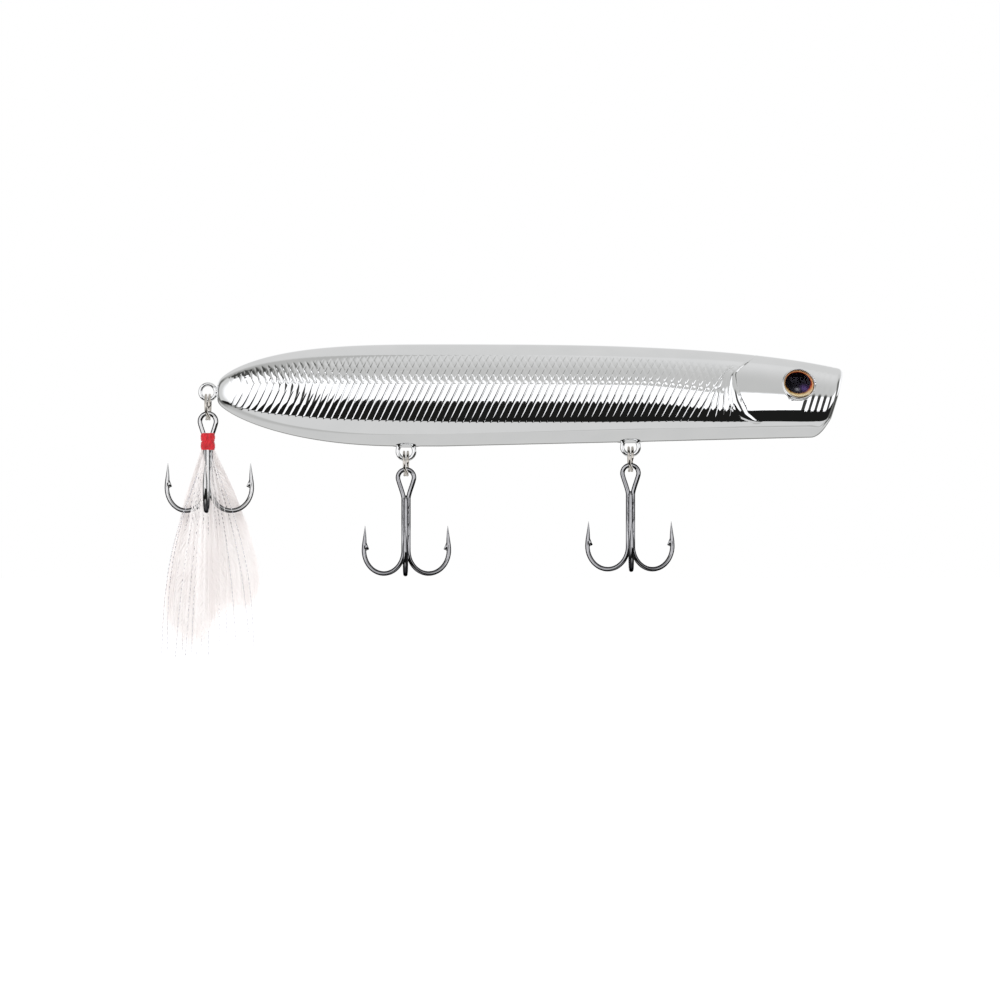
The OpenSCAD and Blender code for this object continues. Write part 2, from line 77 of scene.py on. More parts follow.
def taper(x, drop, start, power):
    return drop * (np.maximum(x - start, 0.0) / (FACE - start)) ** power


def back(x):
    return shoulder(x, full=10.4, start=2.4, run=48, bend=3.4, square=0.65) - taper(x, 5.1, 35, 3.8)


def belly(x):
    return shoulder(x, full=10.1, start=1.0, run=38, bend=2.2, square=0.7) - taper(x, 1.8, 45, 1.0)


def flank(x):
    return shoulder(x, full=9.0, start=1.7, run=43, bend=2.7, square=0.68) - taper(x, 1.9, 50, 2.4)


def widest(x):
    return 0.7 - 1.3 * ease(x / 30) - 2.1 * ease((x - 84) / 22)


def lean(x):
    return LEAN * ease((x - 80) / (FACE - 80))


def skin(x, angle, size=1.0, inset=0.0):
    """Point of the left half-section at length x: angle 0 is the back, pi the belly."""
    x, angle, size = np.broadcast_arrays(*(np.asarray(v, float) for v in (x, angle, size)))
    rise = np.cos(angle)
    reach = np.where(rise > 0, back(x) - widest(x), belly(x) + widest(x))
    full = widest(x) + (reach - inset) * np.sign(rise) * np.abs(rise) ** (2 / POWER)
    mid = (back(x) - belly(x)) / 2
    z = mid + size * (full - mid)
    y = size * (flank(x) - inset) * np.abs(np.sin(angle)) ** (2 / POWER)
    return np.stack([place_x(x + lean(x) * z), y, place_z(z)], -1)


# ---- meshes
def join(*parts):
    return np.concatenate(parts)


def add_object(name, data):
    made = bpy.data.objects.new(name, data)
    scene.collection.objects.link(made)
    return made


def make_mesh(name, points, faces, smooth=True):
    """A mesh object from points in millimetres and a list of face arrays."""
    mesh = bpy.data.meshes.new(name)
    rows = [row for f in faces for row in f.tolist()]
    mesh.from_pydata(np.asarray(points, float) * MM, [], rows, shade_flat=not smooth)
    mesh.validate()
    return add_object(name, mesh)


def dress(piece, body, slot, material, *nodes):
    piece.data.materials.append(material)
    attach(piece, body)
    # the plating mirrors the studio only, so the loose tackle stays out of its reflections
    piece.visible_glossy = slot in ("plated_shell", "eye_foil", "eye_lens")
    if nodes:
        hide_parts(*nodes)


def mark(piece, name, values):
    """Stores a number at each point, for the piece's material to read."""
    attribute = piece.data.attributes.new(name, "FLOAT", "POINT")
    attribute.data.foreach_set("value", values.astype(np.float32))


class Soup:
    """Collects points and faces of one mesh."""

    def __init__(self):
        self.points = []
        self.faces = []
        self.count = 0

    def add(self, points, faces):
        self.points.append(np.asarray(points, float))
        self.faces += [np.asarray(f, int) + self.count for f in faces]
        self.count += len(points)

    def build(self, name, sign=1):
        """One mesh object; sign -1 mirrors it to the right side."""
        faces = self.faces if sign > 0 else [f[:, ::-1] for f in self.faces]
        return make_mesh(name, np.concatenate(self.points) * [1, sign, 1], faces)


def grid_faces(rows, columns, closed=False, ring=False):
    """Quads of a grid of points: closed joins its last column to its first, and ring its last row."""
    i, j = np.meshgrid(np.arange(rows if ring else rows - 1), np.arange(columns if closed else columns - 1),
                       indexing="ij")
    here = i * columns
    ahead = (i + 1) % rows * columns
    beside = (j + 1) % columns
    return np.stack([here + j, here + beside, ahead + beside, ahead + j], -1).reshape(-1, 4)


def tube_faces(rings, sides, flip=False):
    """Faces of a tube of rings, closed by two end points that come after the rings' points."""
    j = np.arange(sides)
    beside = (j + 1) % sides
    pole = rings * sides
    last = pole - sides
    faces = [grid_faces(rings, sides, closed=True),
             np.stack([np.full(sides, pole), beside, j], -1),
             np.stack([np.full(sides, pole + 1), last + j, last + beside], -1)]
    return [f[:, ::-1] for f in faces] if flip else faces


def full_turn(sides):
    return np.linspace(0, 2 * pi, sides, endpoint=False)


def unit(vectors):
    return vectors / np.linalg.norm(vectors, axis=-1, keepdims=True)


def tangents(path):
    return unit(np.gradient(path, axis=0))


def cross_directions(tangent):
    """Two steady directions across a path with these tangents."""
    across = np.zeros_like(tangent)
    seed = np.array([0.0, 1.0, 0.0]) if abs(tangent[0][1]) < 0.8 else np.array([1.0, 0.0, 0.0])
    for i, t in enumerate(tangent):
        seed = unit(seed - t * seed.dot(t))
        across[i] = seed
    return across, np.cross(tangent, across)


def sweep(soup, path, radius, sides):
    """A round wire along a path; its radius may vary, and its ends are slightly domed."""
    radius = np.broadcast_to(radius, len(path))
    tangent = tangents(path)
    across, over = cross_directions(tangent)
    turn = full_turn(sides)[None, :, None]
    section = np.cos(turn) * across[:, None] + np.sin(turn) * over[:, None]
    rings = path[:, None] + radius[:, None, None] * section
    dome = 0.15
    ends = [path[0] - tangent[0] * radius[0] * dome, path[-1] + tangent[-1] * radius[-1] * dome]
    soup.add(join(rings.reshape(-1, 3), ends), tube_faces(len(path), sides))


def bezier(p0, p1, p2, p3, steps):
    t = np.linspace(0, 1, steps)[:, None]
    return (1 - t) ** 3 * p0 + 3 * (1 - t) ** 2 * t * p1 + 3 * (1 - t) * t * t * p2 + t ** 3 * p3


# ---- node materials
def put(tree, owner, inputs):
    """Sets a node's inputs: each takes a number, a colour or another node's output."""
    for key, value in inputs.items():
        socket = owner.inputs[key]
        if isinstance(value, bpy.types.NodeSocket):
            tree.links.new(value, socket)
        elif isinstance(value, tuple):
            socket.default_value = (*value, 1)[:len(socket.default_value)]
        else:
            socket.default_value = value


def node(tree, kind, inputs, output=0, **settings):
    """Adds a node, sets its inputs and returns one of its outputs."""
    made = tree.nodes.new("ShaderNode" + kind)
    for key, value in settings.items():
        setattr(made, key, value)
    put(tree, made, inputs)
    return made.outputs[output]


def compute(tree, operation, *values):
    return node(tree, "Math", dict(enumerate(values)), operation=operation)


def attribute(tree, name):
    """A number that mark() stored."""
    return node(tree, "Attribute", {}, "Fac", attribute_name=name)


def mix_colour(tree, weight, a, b):
    return node(tree, "Mix", {"Factor": weight, "A": a, "B": b}, "Result", data_type="RGBA")


def mix_shader(tree, weight, a, b):
    return node(tree, "MixShader", {"Fac": weight, 1: a, 2: b})


def noise(tree, scale, detail, stretch=(1, 1, 1)):
    """Noise in the piece's own coordinates, scale in waves per metre along each axis."""
    coords = node(tree, "TexCoord", {}, "Object")
    place = node(tree, "Mapping", {"Vector": coords, "Scale": stretch})
    return node(tree, "TexNoise", {"Vector": place, "Scale": scale, "Detail": detail}, "Fac")


def colour_stops(tree, value, stops):
    """A colour that follows a value through (position, colour) stops."""
    made = tree.nodes.new("ShaderNodeValToRGB")
    elements = made.color_ramp.elements
    while len(elements) < len(stops):
        elements.new(0.5)
    for element, (position, colour) in zip(elements, stops):
        element.position = position
        element.color = (*colour, 1)
    put(tree, made, {"Fac": value})
    return made.outputs["Color"]


def ramp(tree, value, low, high, from_low=0.3, from_high=0.7):
    """Maps a value to a colour or number between low and high."""
    if isinstance(low, tuple):
        return colour_stops(tree, value, [(from_low, low), (from_high, high)])
    return node(tree, "MapRange", {"Value": value, "From Min": from_low, "From Max": from_high,
                                   "To Min": low, "To Max": high})


def new_material(name):
    material = bpy.data.materials.new(name)
    material.use_nodes = True
    return material, material.node_tree, material.node_tree.nodes["Principled BSDF"]


def bump(tree, height, distance):
    return node(tree, "Bump", {"Height": height, "Distance": distance}, "Normal")


def metal(name, dark, light, rough, blotch, grain, grain_scale, edge=None, lap=None):
    """Mottled metal. A hook's has painted shade in an edge tone along its silhouette and a lap tone where
    it was brazed.
    """
    material, tree, shader = new_material(name)
    colour = ramp(tree, noise(tree, blotch, 4), dark, light)
    if edge is not None:
        brazed = attribute(tree, "lap")
        colour = mix_colour(tree, brazed, colour, lap)
        # painted shade: a thin wire's colour turns dark towards its silhouette, where it faces away, and
        # less so where it was brazed
        facing = node(tree, "LayerWeight", {}, "Facing")
        painted_outline_shade = node(tree, "MapRange", {"Value": facing, "From Min": 0.03, "From Max": 0.27})
        painted_outline_shade = compute(tree, "MULTIPLY", compute(tree, "MULTIPLY_ADD", brazed, -0.75, 1.0), painted_outline_shade)
        colour = mix_colour(tree, painted_outline_shade, colour, tuple(0.5 * tone for tone in edge))
        put(tree, shader, {"Specular Tint": edge})
    put(tree, shader, {"Metallic": 1.0, "Base Color": colour,
                       "Roughness": ramp(tree, noise(tree, blotch * 2.3, 3), *rough),
                       "Normal": bump(tree, noise(tree, grain_scale, 2), grain)})
    return material


plated = metal("vacuum_plating", (0.90, 0.91, 0.915), (0.94, 0.945, 0.95), rough=(0.016, 0.03),
               blotch=160, grain=3.5e-6, grain_scale=700)
wire_chrome = metal("hanger_plating", (0.84, 0.85, 0.85), (0.92, 0.92, 0.92), rough=(0.04, 0.10),
                    blotch=1500, grain=4e-6, grain_scale=2500)
ring_metal = metal("ring_nickel", (0.55, 0.51, 0.46), (0.80, 0.76, 0.70), rough=(0.12, 0.24),
                   blotch=1800, grain=6e-6, grain_scale=5000)
black_hook = metal("black_nickel", (0.42, 0.42, 0.435), (0.56, 0.56, 0.575), rough=(0.05, 0.10),
                   blotch=900, grain=5e-7, grain_scale=2500, edge=(0.1, 0.1, 0.11), lap=(0.6, 0.6, 0.62))
bright_hook = metal("bright_nickel", (0.74, 0.74, 0.74), (0.86, 0.86, 0.855), rough=(0.05, 0.09),
                    blotch=900, grain=5e-7, grain_scale=2500, edge=(0.2, 0.2, 0.21), lap=(0.72, 0.72, 0.72))
steel = metal("ball_steel", (0.50, 0.51, 0.52), (0.66, 0.67, 0.68), rough=(0.10, 0.22),
              blotch=700, grain=4e-6, grain_scale=3000)

# ---- the plated shells
PERIOD = 1.39
PERIOD_STEPS = np.array([0, 0.09, 0.17, 0.26, 0.44, 0.66, 0.88, 1.04, 1.13, 1.22, 1.30])
SLANT = 0.466
GROOVE = 0.22
CROSS_GROOVE = 0.27
SCALES_END = 101.6
SLANT_END = 96.5
HEAD_START = 108.6
SIDE_ROW = 78
CHINE = 116.7
EYE_RADIUS = 3.15
EYE_SOCKET = -0.85

face_size = float(back(FACE) + belly(FACE)) / 2
cup_lift = sqrt(CUP_SPHERE ** 2 - CUP_OPENING ** 2)
cup_edge = acos(cup_lift / CUP_SPHERE)

# the grid's columns: stations from tail to lip and down into the cup, each with the size of its section
tail_cap = [(0.0, 0.0), (0.0, 0.42), (0.02, 0.64), (0.06, 0.79), (0.14, 0.89), (0.28, 0.955), (0.5, 0.985),
            (0.8, 1.0), (1.1, 1.0)]
tail_x, tail_size = np.array(tail_cap).T
periods = np.arange(1, int((SCALES_END - PERIOD) / PERIOD) + 1)
scale_x = (periods[:, None] * PERIOD + PERIOD_STEPS[None]).ravel()
gill_x = np.arange(scale_x[-1] + 0.12, HEAD_START - 0.1, 0.15)
head_x = np.linspace(HEAD_START, FACE - LIP, 66)
lip_turn = np.radians(np.linspace(0, 90, 9)[1:])
cup_turn = cup_edge * (1 - np.linspace(0, 1, 17))
column_x = join(tail_x, scale_x, gill_x, head_x, FACE - LIP * (1 - np.sin(lip_turn)),
                FACE - (CUP_SPHERE * np.cos(cup_turn) - cup_lift))
column_size = join(tail_size, np.ones(len(scale_x) + len(gill_x) + len(head_x)),
                   1 - LIP * (1 - np.cos(lip_turn)) / face_size, np.sin(cup_turn) * CUP_SPHERE / face_size)

# its rows: degrees from the back, closest together on the side
row_angle = join([0, 0.7], np.linspace(3, 39, 11), np.linspace(40.5, 77.5, 48), np.linspace(79.2, 115, 22),
                 [116, CHINE, 117.4], np.linspace(119.5, 177, 13), [179.3, 180])


def gill_edge(z):
    """Rear edge of the cheek plate: its X at a height."""
    return np.interp(z, [-4.6, -4.2, -3.55, -2.4, -0.65, 1.5, 3.9, 5.0, 5.6, 6.7, 8.5, 9.5],
                     [-13.2, -14.2, -15.9, -17.1, -18.1, -18.25, -18.0, -17.8, -17.4, -16.1, -13.7, -12.3])


def gill_inner(z):
    """Front edge of the raised bead round the cheek plate."""
    return np.interp(z, [-4.6, -4.2, -3.9, -2.6, 0.3, 3.0, 5.0, 5.6, 6.7, 8.5, 9.5],
                     [-10.5, -11.9, -13.0, -14.7, -16.1, -16.7, -16.95, -16.8, -15.5, -13.1, -11.7])


def eye_frame():
    """Centre and three axes of the left eye, the third pointing out."""
    at, height, tilt, turn = 115.3, 2.3, radians(21), radians(9)
    rise = height - float(widest(at))
    reach = float(back(at) - widest(at))
    side = float(flank(at)) * (1 - (rise / reach) ** POWER) ** (1 / POWER)
    centre = np.array([place_x(at + float(lean(at)) * height), side, place_z(height)])
    a = tilt - pi / 2
    c, s = cos(turn), sin(turn)
    turned = np.array([[c, s, 0], [-s, c, 0], [0, 0, 1]])
    c, s = cos(a), sin(a)
    tilted = np.array([[1, 0, 0], [0, c, -s], [0, s, c]])
    return centre, (turned @ tilted).T


eye_centre, eye_axes = eye_frame()


def chine_angle():
    """Where the chine crosses each column, in degrees from the back."""
    z = np.interp(column_x, [0, 4, 11.7, 25.1, 52.6, 80, 124],
                  [-1.2, -2.2, -3.8, -4.75, -5.25, -5.25, -5.15])
    smooth = 41
    z = np.convolve(np.pad(z, smooth // 2, mode="edge"), np.ones(smooth) / smooth, mode="valid")
    drop = (widest(column_x) - z) / (belly(column_x) + widest(column_x))
    return np.degrees(np.arccos(-np.clip(drop, 0.05, 0.95) ** (POWER / 2)))


def scale_relief(x, x0, offset, degrees, from_chine):
    """Two families of grooves: one follows the grid's columns, the other crosses them above the side."""
    lower = ease((degrees - 74) / 6)
    upper = ease((degrees - 38) / 14) * (1 - lower)
    near_tail = 1 - ease((x - 14) / 16)
    phase = (x0 / PERIOD + 0.5) % 1.0 - 0.5
    cross_phase = ((x0 + 2 * offset) / PERIOD + 0.25) % 1.0 - 0.5
    groove = np.clip(1 - np.abs(phase) * PERIOD / GROOVE, 0, 1)
    cross_groove = np.clip(1 - np.abs(cross_phase) * PERIOD / CROSS_GROOVE, 0, 1)
    fading = 0.55 * ease((degrees - 104) / 12) * ease((from_chine - 0.15) / 0.45)
    slope = 0.034 + 0.026 * ease((degrees - 88) / 5)
    depth = slope * lower * (1 - fading) + upper * (0.066 - 0.054 * near_tail)
    cross_depth = upper * (0.075 + 0.01 * near_tail) * ease((77.5 - degrees) / 2)
    pillow = 0.022 * lower * (1 - (1 - 2 * np.abs(phase)) ** 2)
    cut = np.maximum(depth * groove, cross_depth * cross_groove)
    return (pillow - cut) * ease((x - 2.2) / 2.5) * ease((from_chine + 0.15) / 0.2)


def chine_relief(x, from_chine):
    """A soft ridge where the scales end and the smooth belly begins."""
    ridge = np.clip(np.where(from_chine > 0, 1 - from_chine / 2.0, 1 + from_chine / 2.3), 0, 1) ** 2
    return 0.15 * ridge * ease((x - 1) / 4) * (1 - ease((x - 119) / 3))


def cheek_relief(x, across, Z, from_chine):
    """The cheek plate: a half-round bead at its rear edge, thinning over the back, and its step."""
    bead = np.sqrt(np.clip(1 - (2 * across - 1) ** 2, 0, 1))
    bead = bead * ease((9.6 - Z) / 2.5) * ease((from_chine + 0.3) / 0.6)
    step = ease(across * 4) * ease((10.0 - Z) / 3) * ease((from_chine + 0.2) / 0.5)
    return (0.22 * bead + 0.05 * step * (1 - ease((x - 112) / 6))) * (x > 95)


def flute_relief(x, Z, from_chine):
    """Shallow upright flutes beside the lip."""
    flute = 0.5 - 0.5 * np.cos(2 * pi * (x - 116.85) / 1.15)
    flute = flute * ease((x - 116.75) / 0.4) * (1 - ease((x - 121.6) / 0.4))
    return -0.032 * flute * ease((8.2 - Z) / 2) * ease((from_chine + 0.2) / 0.6)


def fairing_relief(x, y, angle):
    """A fairing round each belly hanger."""
    away = np.minimum(np.hypot(x - REAR_AT, y), np.hypot(x - FRONT_AT, y))
    return 0.2 * ease((2.9 - away) / 1.6) * (angle > pi / 2)


def outer_skin():
    """The left shell's outside as a grid of points, from the tail's end to the bottom of the cup."""
    columns = len(column_x)
    on_body = (np.arange(columns) < columns - len(lip_turn) - len(cup_turn))[:, None]
    above = np.clip((row_angle - SIDE_ROW) / (CHINE - SIDE_ROW), 0, 1)
    below = np.clip((180 - row_angle) / (180 - CHINE), 0, 1)
    bend = (chine_angle() - CHINE)[:, None] * np.where(row_angle <= CHINE, above, below)[None]
    angle = np.radians(row_angle[None] + bend)
    x0 = np.repeat(column_x[:, None], len(row_angle), 1)
    size = np.repeat(column_size[:, None], len(row_angle), 1)
    flat = skin(x0, angle, size)
    girth = np.cumsum(np.linalg.norm(np.diff(flat, axis=1), axis=2), 1)
    girth = np.concatenate([np.zeros((columns, 1)), girth], 1)
    level = np.array([np.interp(pi / 2, angle[i], girth[i]) for i in range(columns)])
    s = level[:, None] - girth
    from_chine = s - s[:, int(np.argmin(np.abs(row_angle - CHINE)))][:, None]

    # columns follow the slanting scale grooves, then the cheek plate's edge, then run straight to the lip
    handover = ease((x0 - SLANT_END) / 5)
    slanted = SLANT * s * ease((x0 - 0.8) / 5)
    plate_edge = np.interp(flat[..., 2], [-1, 3.9, 5.6, 6.7, 8.5, 9.5], [0.0, -0.35, -0.3, 0.7, 2.8, 3.9])
    offset = slanted * (1 - handover) + plate_edge * handover * (1 - ease((x0 - 104) / 7))
    x = np.where(on_body & (size == 1), np.clip(x0 + offset, 0.3, None), x0)
    base = skin(x, angle, size)
    swell = np.interp(base[..., 2], [-7.3, -5.5, -3.6, 1.0, 5.0, 7.0], [0.0, 0.55, 1.0, 0.8, 0.5, 0.4])
    base[..., 0] += swell * ease((x - 110) / 12)
    X, Z = base[..., 0], base[..., 2]

    behind_gill = ease((gill_edge(Z) - X) / 0.25)
    across_bead = (X - gill_edge(Z)) / (gill_inner(Z) - gill_edge(Z))
    relief = scale_relief(x, x0, offset, np.degrees(angle) - bend, from_chine) * behind_gill
    relief = relief + chine_relief(x, from_chine) + cheek_relief(x, across_bead, Z, from_chine)
    relief = relief + flute_relief(x, Z, from_chine) + fairing_relief(x, base[..., 1], angle)
    # a fine parting line
    seam = (row_angle < 0.5) | (row_angle > 179.6)
    relief = (relief - 0.03 * seam[None] * ease((x - 1) / 2)) * on_body

    normal = np.cross(np.gradient(base, axis=0), np.gradient(base, axis=1))
    normal = normal / np.maximum(np.linalg.norm(normal, axis=2, keepdims=True), 1e-9)
    normal[:, [0, -1], 1] = 0
    points = base + relief[..., None] * normal
    points[:, [0, -1], 1] = 0

    # eye socket
    local = (points - eye_centre) @ eye_axes.T
    inside = (np.hypot(local[..., 0], local[..., 1]) < EYE_RADIUS) & (local[..., 2] > -2) & (x > 105)
    local[..., 2] = np.where(inside, EYE_SOCKET, local[..., 2])
    return np.where(inside[..., None], local @ eye_axes + eye_centre, points)


def inner_skin():
    """The shell's inside, a wall's thickness within the outside and behind the cup."""
    steps = 36
    start = 3
    cup_back = CUP_SPHERE + WALL
    cup_sizes = 1 - np.arange(11) / 10
    cup_x = FACE - (np.sqrt(cup_back ** 2 - (cup_sizes * (face_size - WALL)) ** 2) - cup_lift)
    x = start + (cup_x[0] - start) * (np.arange(steps + 1) / steps) ** 1.4
    x = join([start], x, cup_x[1:])
    size = join([0.0], np.ones(steps + 1), cup_sizes[1:])
    points = skin(x[:, None], np.radians(np.linspace(0, 180, 25))[None], size[:, None], WALL)
    points[:, [0, -1], 1] = 0
    return points


def zipper(points, first, second, flip):
    """Triangles between two lines of points that run the same way, given by their indices."""
    lengths = [np.cumsum(np.linalg.norm(np.diff(points[line], axis=0), axis=1)) for line in (first, second)]
    reach_a, reach_b = (join([0], length / length[-1]) for length in lengths)
    i = j = 0
    faces = []
    while i < len(first) - 1 or j < len(second) - 1:
        if j == len(second) - 1 or (i < len(first) - 1 and reach_a[i + 1] <= reach_b[j + 1]):
            faces.append((first[i], first[i + 1], second[j]))
            i += 1
        else:
            faces.append((first[i], second[j + 1], second[j]))
            j += 1
    faces = np.array(faces)
    return faces[:, ::-1] if flip else faces


def shell_soup():
    """The left shell: its outside and inside, joined along the parting line."""
    soup = Soup()
    edges = []
    for grid, outward in ((outer_skin(), True), (inner_skin(), False)):
        columns, rows = grid.shape[:2]
        body = grid[1:-1].reshape(-1, 3)
        pole = len(body)
        k = np.arange(rows - 1)
        last = (columns - 3) * rows
        faces = [grid_faces(columns - 2, rows),
                 np.stack([np.full(rows - 1, pole), k + 1, k], -1),
                 np.stack([np.full(rows - 1, pole + 1), last + k, last + k + 1], -1)]
        if not outward:
            faces = [f[:, ::-1] for f in faces]
        for row in (0, rows - 1):
            line = join([pole], np.arange(columns - 2) * rows + row, [pole + 1])
            edges.append(line + soup.count)
        soup.add(join(body, [grid[0, 0], grid[-1, 0]]), faces)
    points = np.concatenate(soup.points)
    soup.faces += [zipper(points, edges[0], edges[2], True), zipper(points, edges[1], edges[3], False)]
    return soup


shell = shell_soup()
for side, sign in SIDES:
    dress(shell.build(side + "_plated_shell", sign), "body", "plated_shell", plated, side + "_shell")

# ---- eyes
EYE_SIDES = 72
PRINT_LEVEL = -0.56
PRINT_BACK = -0.84
DOME = 0.72
RIM_LEVEL = 0.02
LENS_BACK = -0.5
PUPIL = (0.002, 0.002, 0.003)


def eye_rings(profile):
    """Rings of points on the left eye, from pairs of radius and height above the socket's edge."""
    turn = full_turn(EYE_SIDES)
    rings = [np.stack([r * np.cos(turn), r * np.sin(turn), np.full(EYE_SIDES, h)], -1) for r, h in profile]
    return np.concatenate(rings) @ eye_axes + eye_centre


def eye_disc(profile):
    """A turned mesh round the eye's axis, from the centre outwards and back."""
    soup = Soup()
    centres = [eye_centre + height * eye_axes[2] for height in (profile[0][1], profile[-1][1])]
    soup.add(join(eye_rings(profile[1:-1]), centres), tube_faces(len(profile) - 2, EYE_SIDES))
    return soup


def eye_ring(profile):
    """A turned ring round the eye's axis, from a closed profile."""
    soup = Soup()
    soup.add(eye_rings(profile), [grid_faces(len(profile), EYE_SIDES, closed=True, ring=True)])
    return soup


def foil_material():
    """A printed eye: a black pupil in an iris from gold to fiery red, by the marks on the print, with a
    painted reflection and a painted highlight mixed into the pupil's colour.
    """
    material, tree, shader = new_material("eye_foil_print")
    wobble = ramp(tree, noise(tree, 1400, 3), -0.02, 0.02)
    radius = compute(tree, "ADD", attribute(tree, "eye_radius"), wobble)
    golden = colour_stops(tree, radius, [(0.0, PUPIL), (0.70, PUPIL), (0.735, (0.16, 0.06, 0.015)),
                                         (0.8, (0.62, 0.46, 0.2)), (0.9, (0.88, 0.77, 0.52)),
                                         (0.965, (0.12, 0.08, 0.04))])
    fiery = colour_stops(tree, radius, [(0.0, PUPIL), (0.68, (0.004, 0.002, 0.003)),
                                        (0.725, (0.30, 0.02, 0.006)), (0.8, (0.68, 0.16, 0.03)),
                                        (0.9, (0.9, 0.58, 0.3)), (0.965, (0.12, 0.07, 0.04))])
    colour = mix_colour(tree, attribute(tree, "eye_side"), golden, fiery)
    # a painted reflection, violet and low on the pupil, and a small painted grey highlight beside it
    for name, tone in (("eye_painted_reflection", (0.10, 0.06, 0.20)), ("eye_painted_highlight", (0.22, 0.22, 0.25))):
        colour = mix_colour(tree, attribute(tree, name), colour, tone)
    put(tree, shader, {"Base Color": colour, "Metallic": 0.0, "Specular IOR Level": 0.0, "Roughness": 0.4,
                       "Normal": bump(tree, noise(tree, 2500, 2), 5e-7)})
    return material


def lens_material():
    """A clear dome with a faint reflection, which mirrors its surroundings when seen from the side."""
    material, tree, shader = new_material("eye_clear_lens")
    tree.nodes.remove(shader)
    clear = node(tree, "BsdfTransparent", {"Color": (0.97, 0.965, 0.96)})
    waves = bump(tree, noise(tree, 900, 2), 6e-6)
    gloss = node(tree, "BsdfGlossy", {"Roughness": 0.03, "Color": (0.72, 0.70, 0.90), "Normal": waves})
    outside = compute(tree, "SUBTRACT", 1.0, node(tree, "NewGeometry", {}, "Backfacing"))
    ahead = compute(tree, "MULTIPLY", node(tree, "Fresnel", {"IOR": 1.3}), outside)
    facing = node(tree, "LayerWeight", {}, "Facing")
    grazing = node(tree, "MapRange", {"Value": facing, "From Min": 0.5, "From Max": 0.95, "To Max": 0.85})
    mix = mix_shader(tree, compute(tree, "MAXIMUM", ahead, grazing), clear, gloss)
    put(tree, tree.nodes["Material Output"], {"Surface": mix})
    return material


def mark_print(piece, soup):
    """Marks where the printed colours, the painted reflection and the painted highlight go, from each
    point's place on the left eye.
    """
    x, y, _ = ((np.concatenate(soup.points) - eye_centre) @ eye_axes.T).T
    radius = np.hypot(x, y) / EYE_RADIUS
    # the pupil is a little off centre and wider than high, and the rim of the print is round
    pupil_radius = np.hypot((x + 0.10) / 1.18, (y + 0.62) / 1.06) / EYE_RADIUS
    outer = ease((radius - 0.84) / 0.12)
    mark(piece, "eye_radius", pupil_radius * (1 - outer) + radius * outer)
    mark(piece, "eye_side", ease(0.5 + (x * 0.45 - y * 0.9) / EYE_RADIUS))
    # painted reflection and painted highlight, placed low on the pupil
    mark(piece, "eye_painted_reflection", 0.85 * np.exp(-((x - 1.15) / 0.75) ** 2 - ((y - 0.8) / 0.65) ** 2))
    mark(piece, "eye_painted_highlight", 0.9 * np.exp(-((x + 0.35) / 0.42) ** 2 - ((y - 1.0) / 0.30) ** 2))


foil = foil_material()
clear = lens_material()
print_profile = [(0.0, PRINT_LEVEL)] \
    + [(r, PRINT_LEVEL - 0.05 * (r / EYE_RADIUS) ** 2) for r in np.linspace(0.12, EYE_RADIUS, 30)] \
    + [(EYE_RADIUS, PRINT_BACK), (0.0, PRINT_BACK)]
dome_top = RIM_LEVEL + DOME
dome_radius = (EYE_RADIUS ** 2 + DOME ** 2) / (2 * DOME)
lens_profile = [(0.0, dome_top)] \
    + [(r, dome_top - dome_radius + sqrt(dome_radius ** 2 - r * r))
       for r in np.linspace(0.25, EYE_RADIUS - 0.06, 18)] \
    + [(EYE_RADIUS - 0.01, RIM_LEVEL - 0.06), (EYE_RADIUS - 0.01, LENS_BACK), (0.0, LENS_BACK)]
rim_profile = [(3.02, -0.86), (3.02, -0.06), (3.06, 0.02), (3.12, 0.06), (3.20, 0.05), (3.27, 0.0),
               (3.33, -0.09), (3.42, -0.34), (3.47, -0.6), (3.47, -0.86)]
for side, sign in SIDES:
    printed = eye_disc(print_profile)
    foil_piece = printed.build(side + "_eye_print", sign)
    mark_print(foil_piece, printed)
    dress(foil_piece, "body", "eye_foil", foil, side + "_eye_film")
    dome = eye_disc(lens_profile).build(side + "_eye_dome", sign)
    dress(dome, "body", "eye_lens", clear, side + "_eye_lens")
    dress(eye_ring(rim_profile).build(side + "_eye_rim", sign), "body", "plated_shell", wire_chrome)

# ---- nodes that keep their CAD shapes
WIRES = ("line_tie", "front_belly_hanger", "rear_belly_hanger", "tail_hanger")
STEEL_PARTS = ("tail_weights", "knocker_ball", "front_rattle_ball", "rear_rattle_ball")
for material, names in ((wire_chrome, WIRES), (steel, STEEL_PARTS)):
    for name in names:
        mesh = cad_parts[name].data
        mesh.materials.clear()
        mesh.materials.append(material)

# ---- split rings
RING_GAUGE = 0.66
RING_STRIP = 0.52
RING_CORNER = 0.22
RING_STEP = 28.0
RING_TURNED = 48.0


def on_centre(place):
    """The point of the centre plane at a place's X and Z."""
    return np.array([place[0], 0, place[1]])


def ring_section():
    """A rounded flat wire's section, as points across and along the ring's axis."""
    section = []
    for right, up, start in ((1, 1, 0), (-1, 1, 90), (-1, -1, 180), (1, -1, 270)):
        for degrees in (0, 30, 60, 90):
            b = radians(start + degrees)
            section.append((right * (RING_GAUGE / 2 - RING_CORNER) + RING_CORNER * cos(b),
                            up * (RING_STRIP / 2 - RING_CORNER) + RING_CORNER * sin(b)))
    return np.array(section)


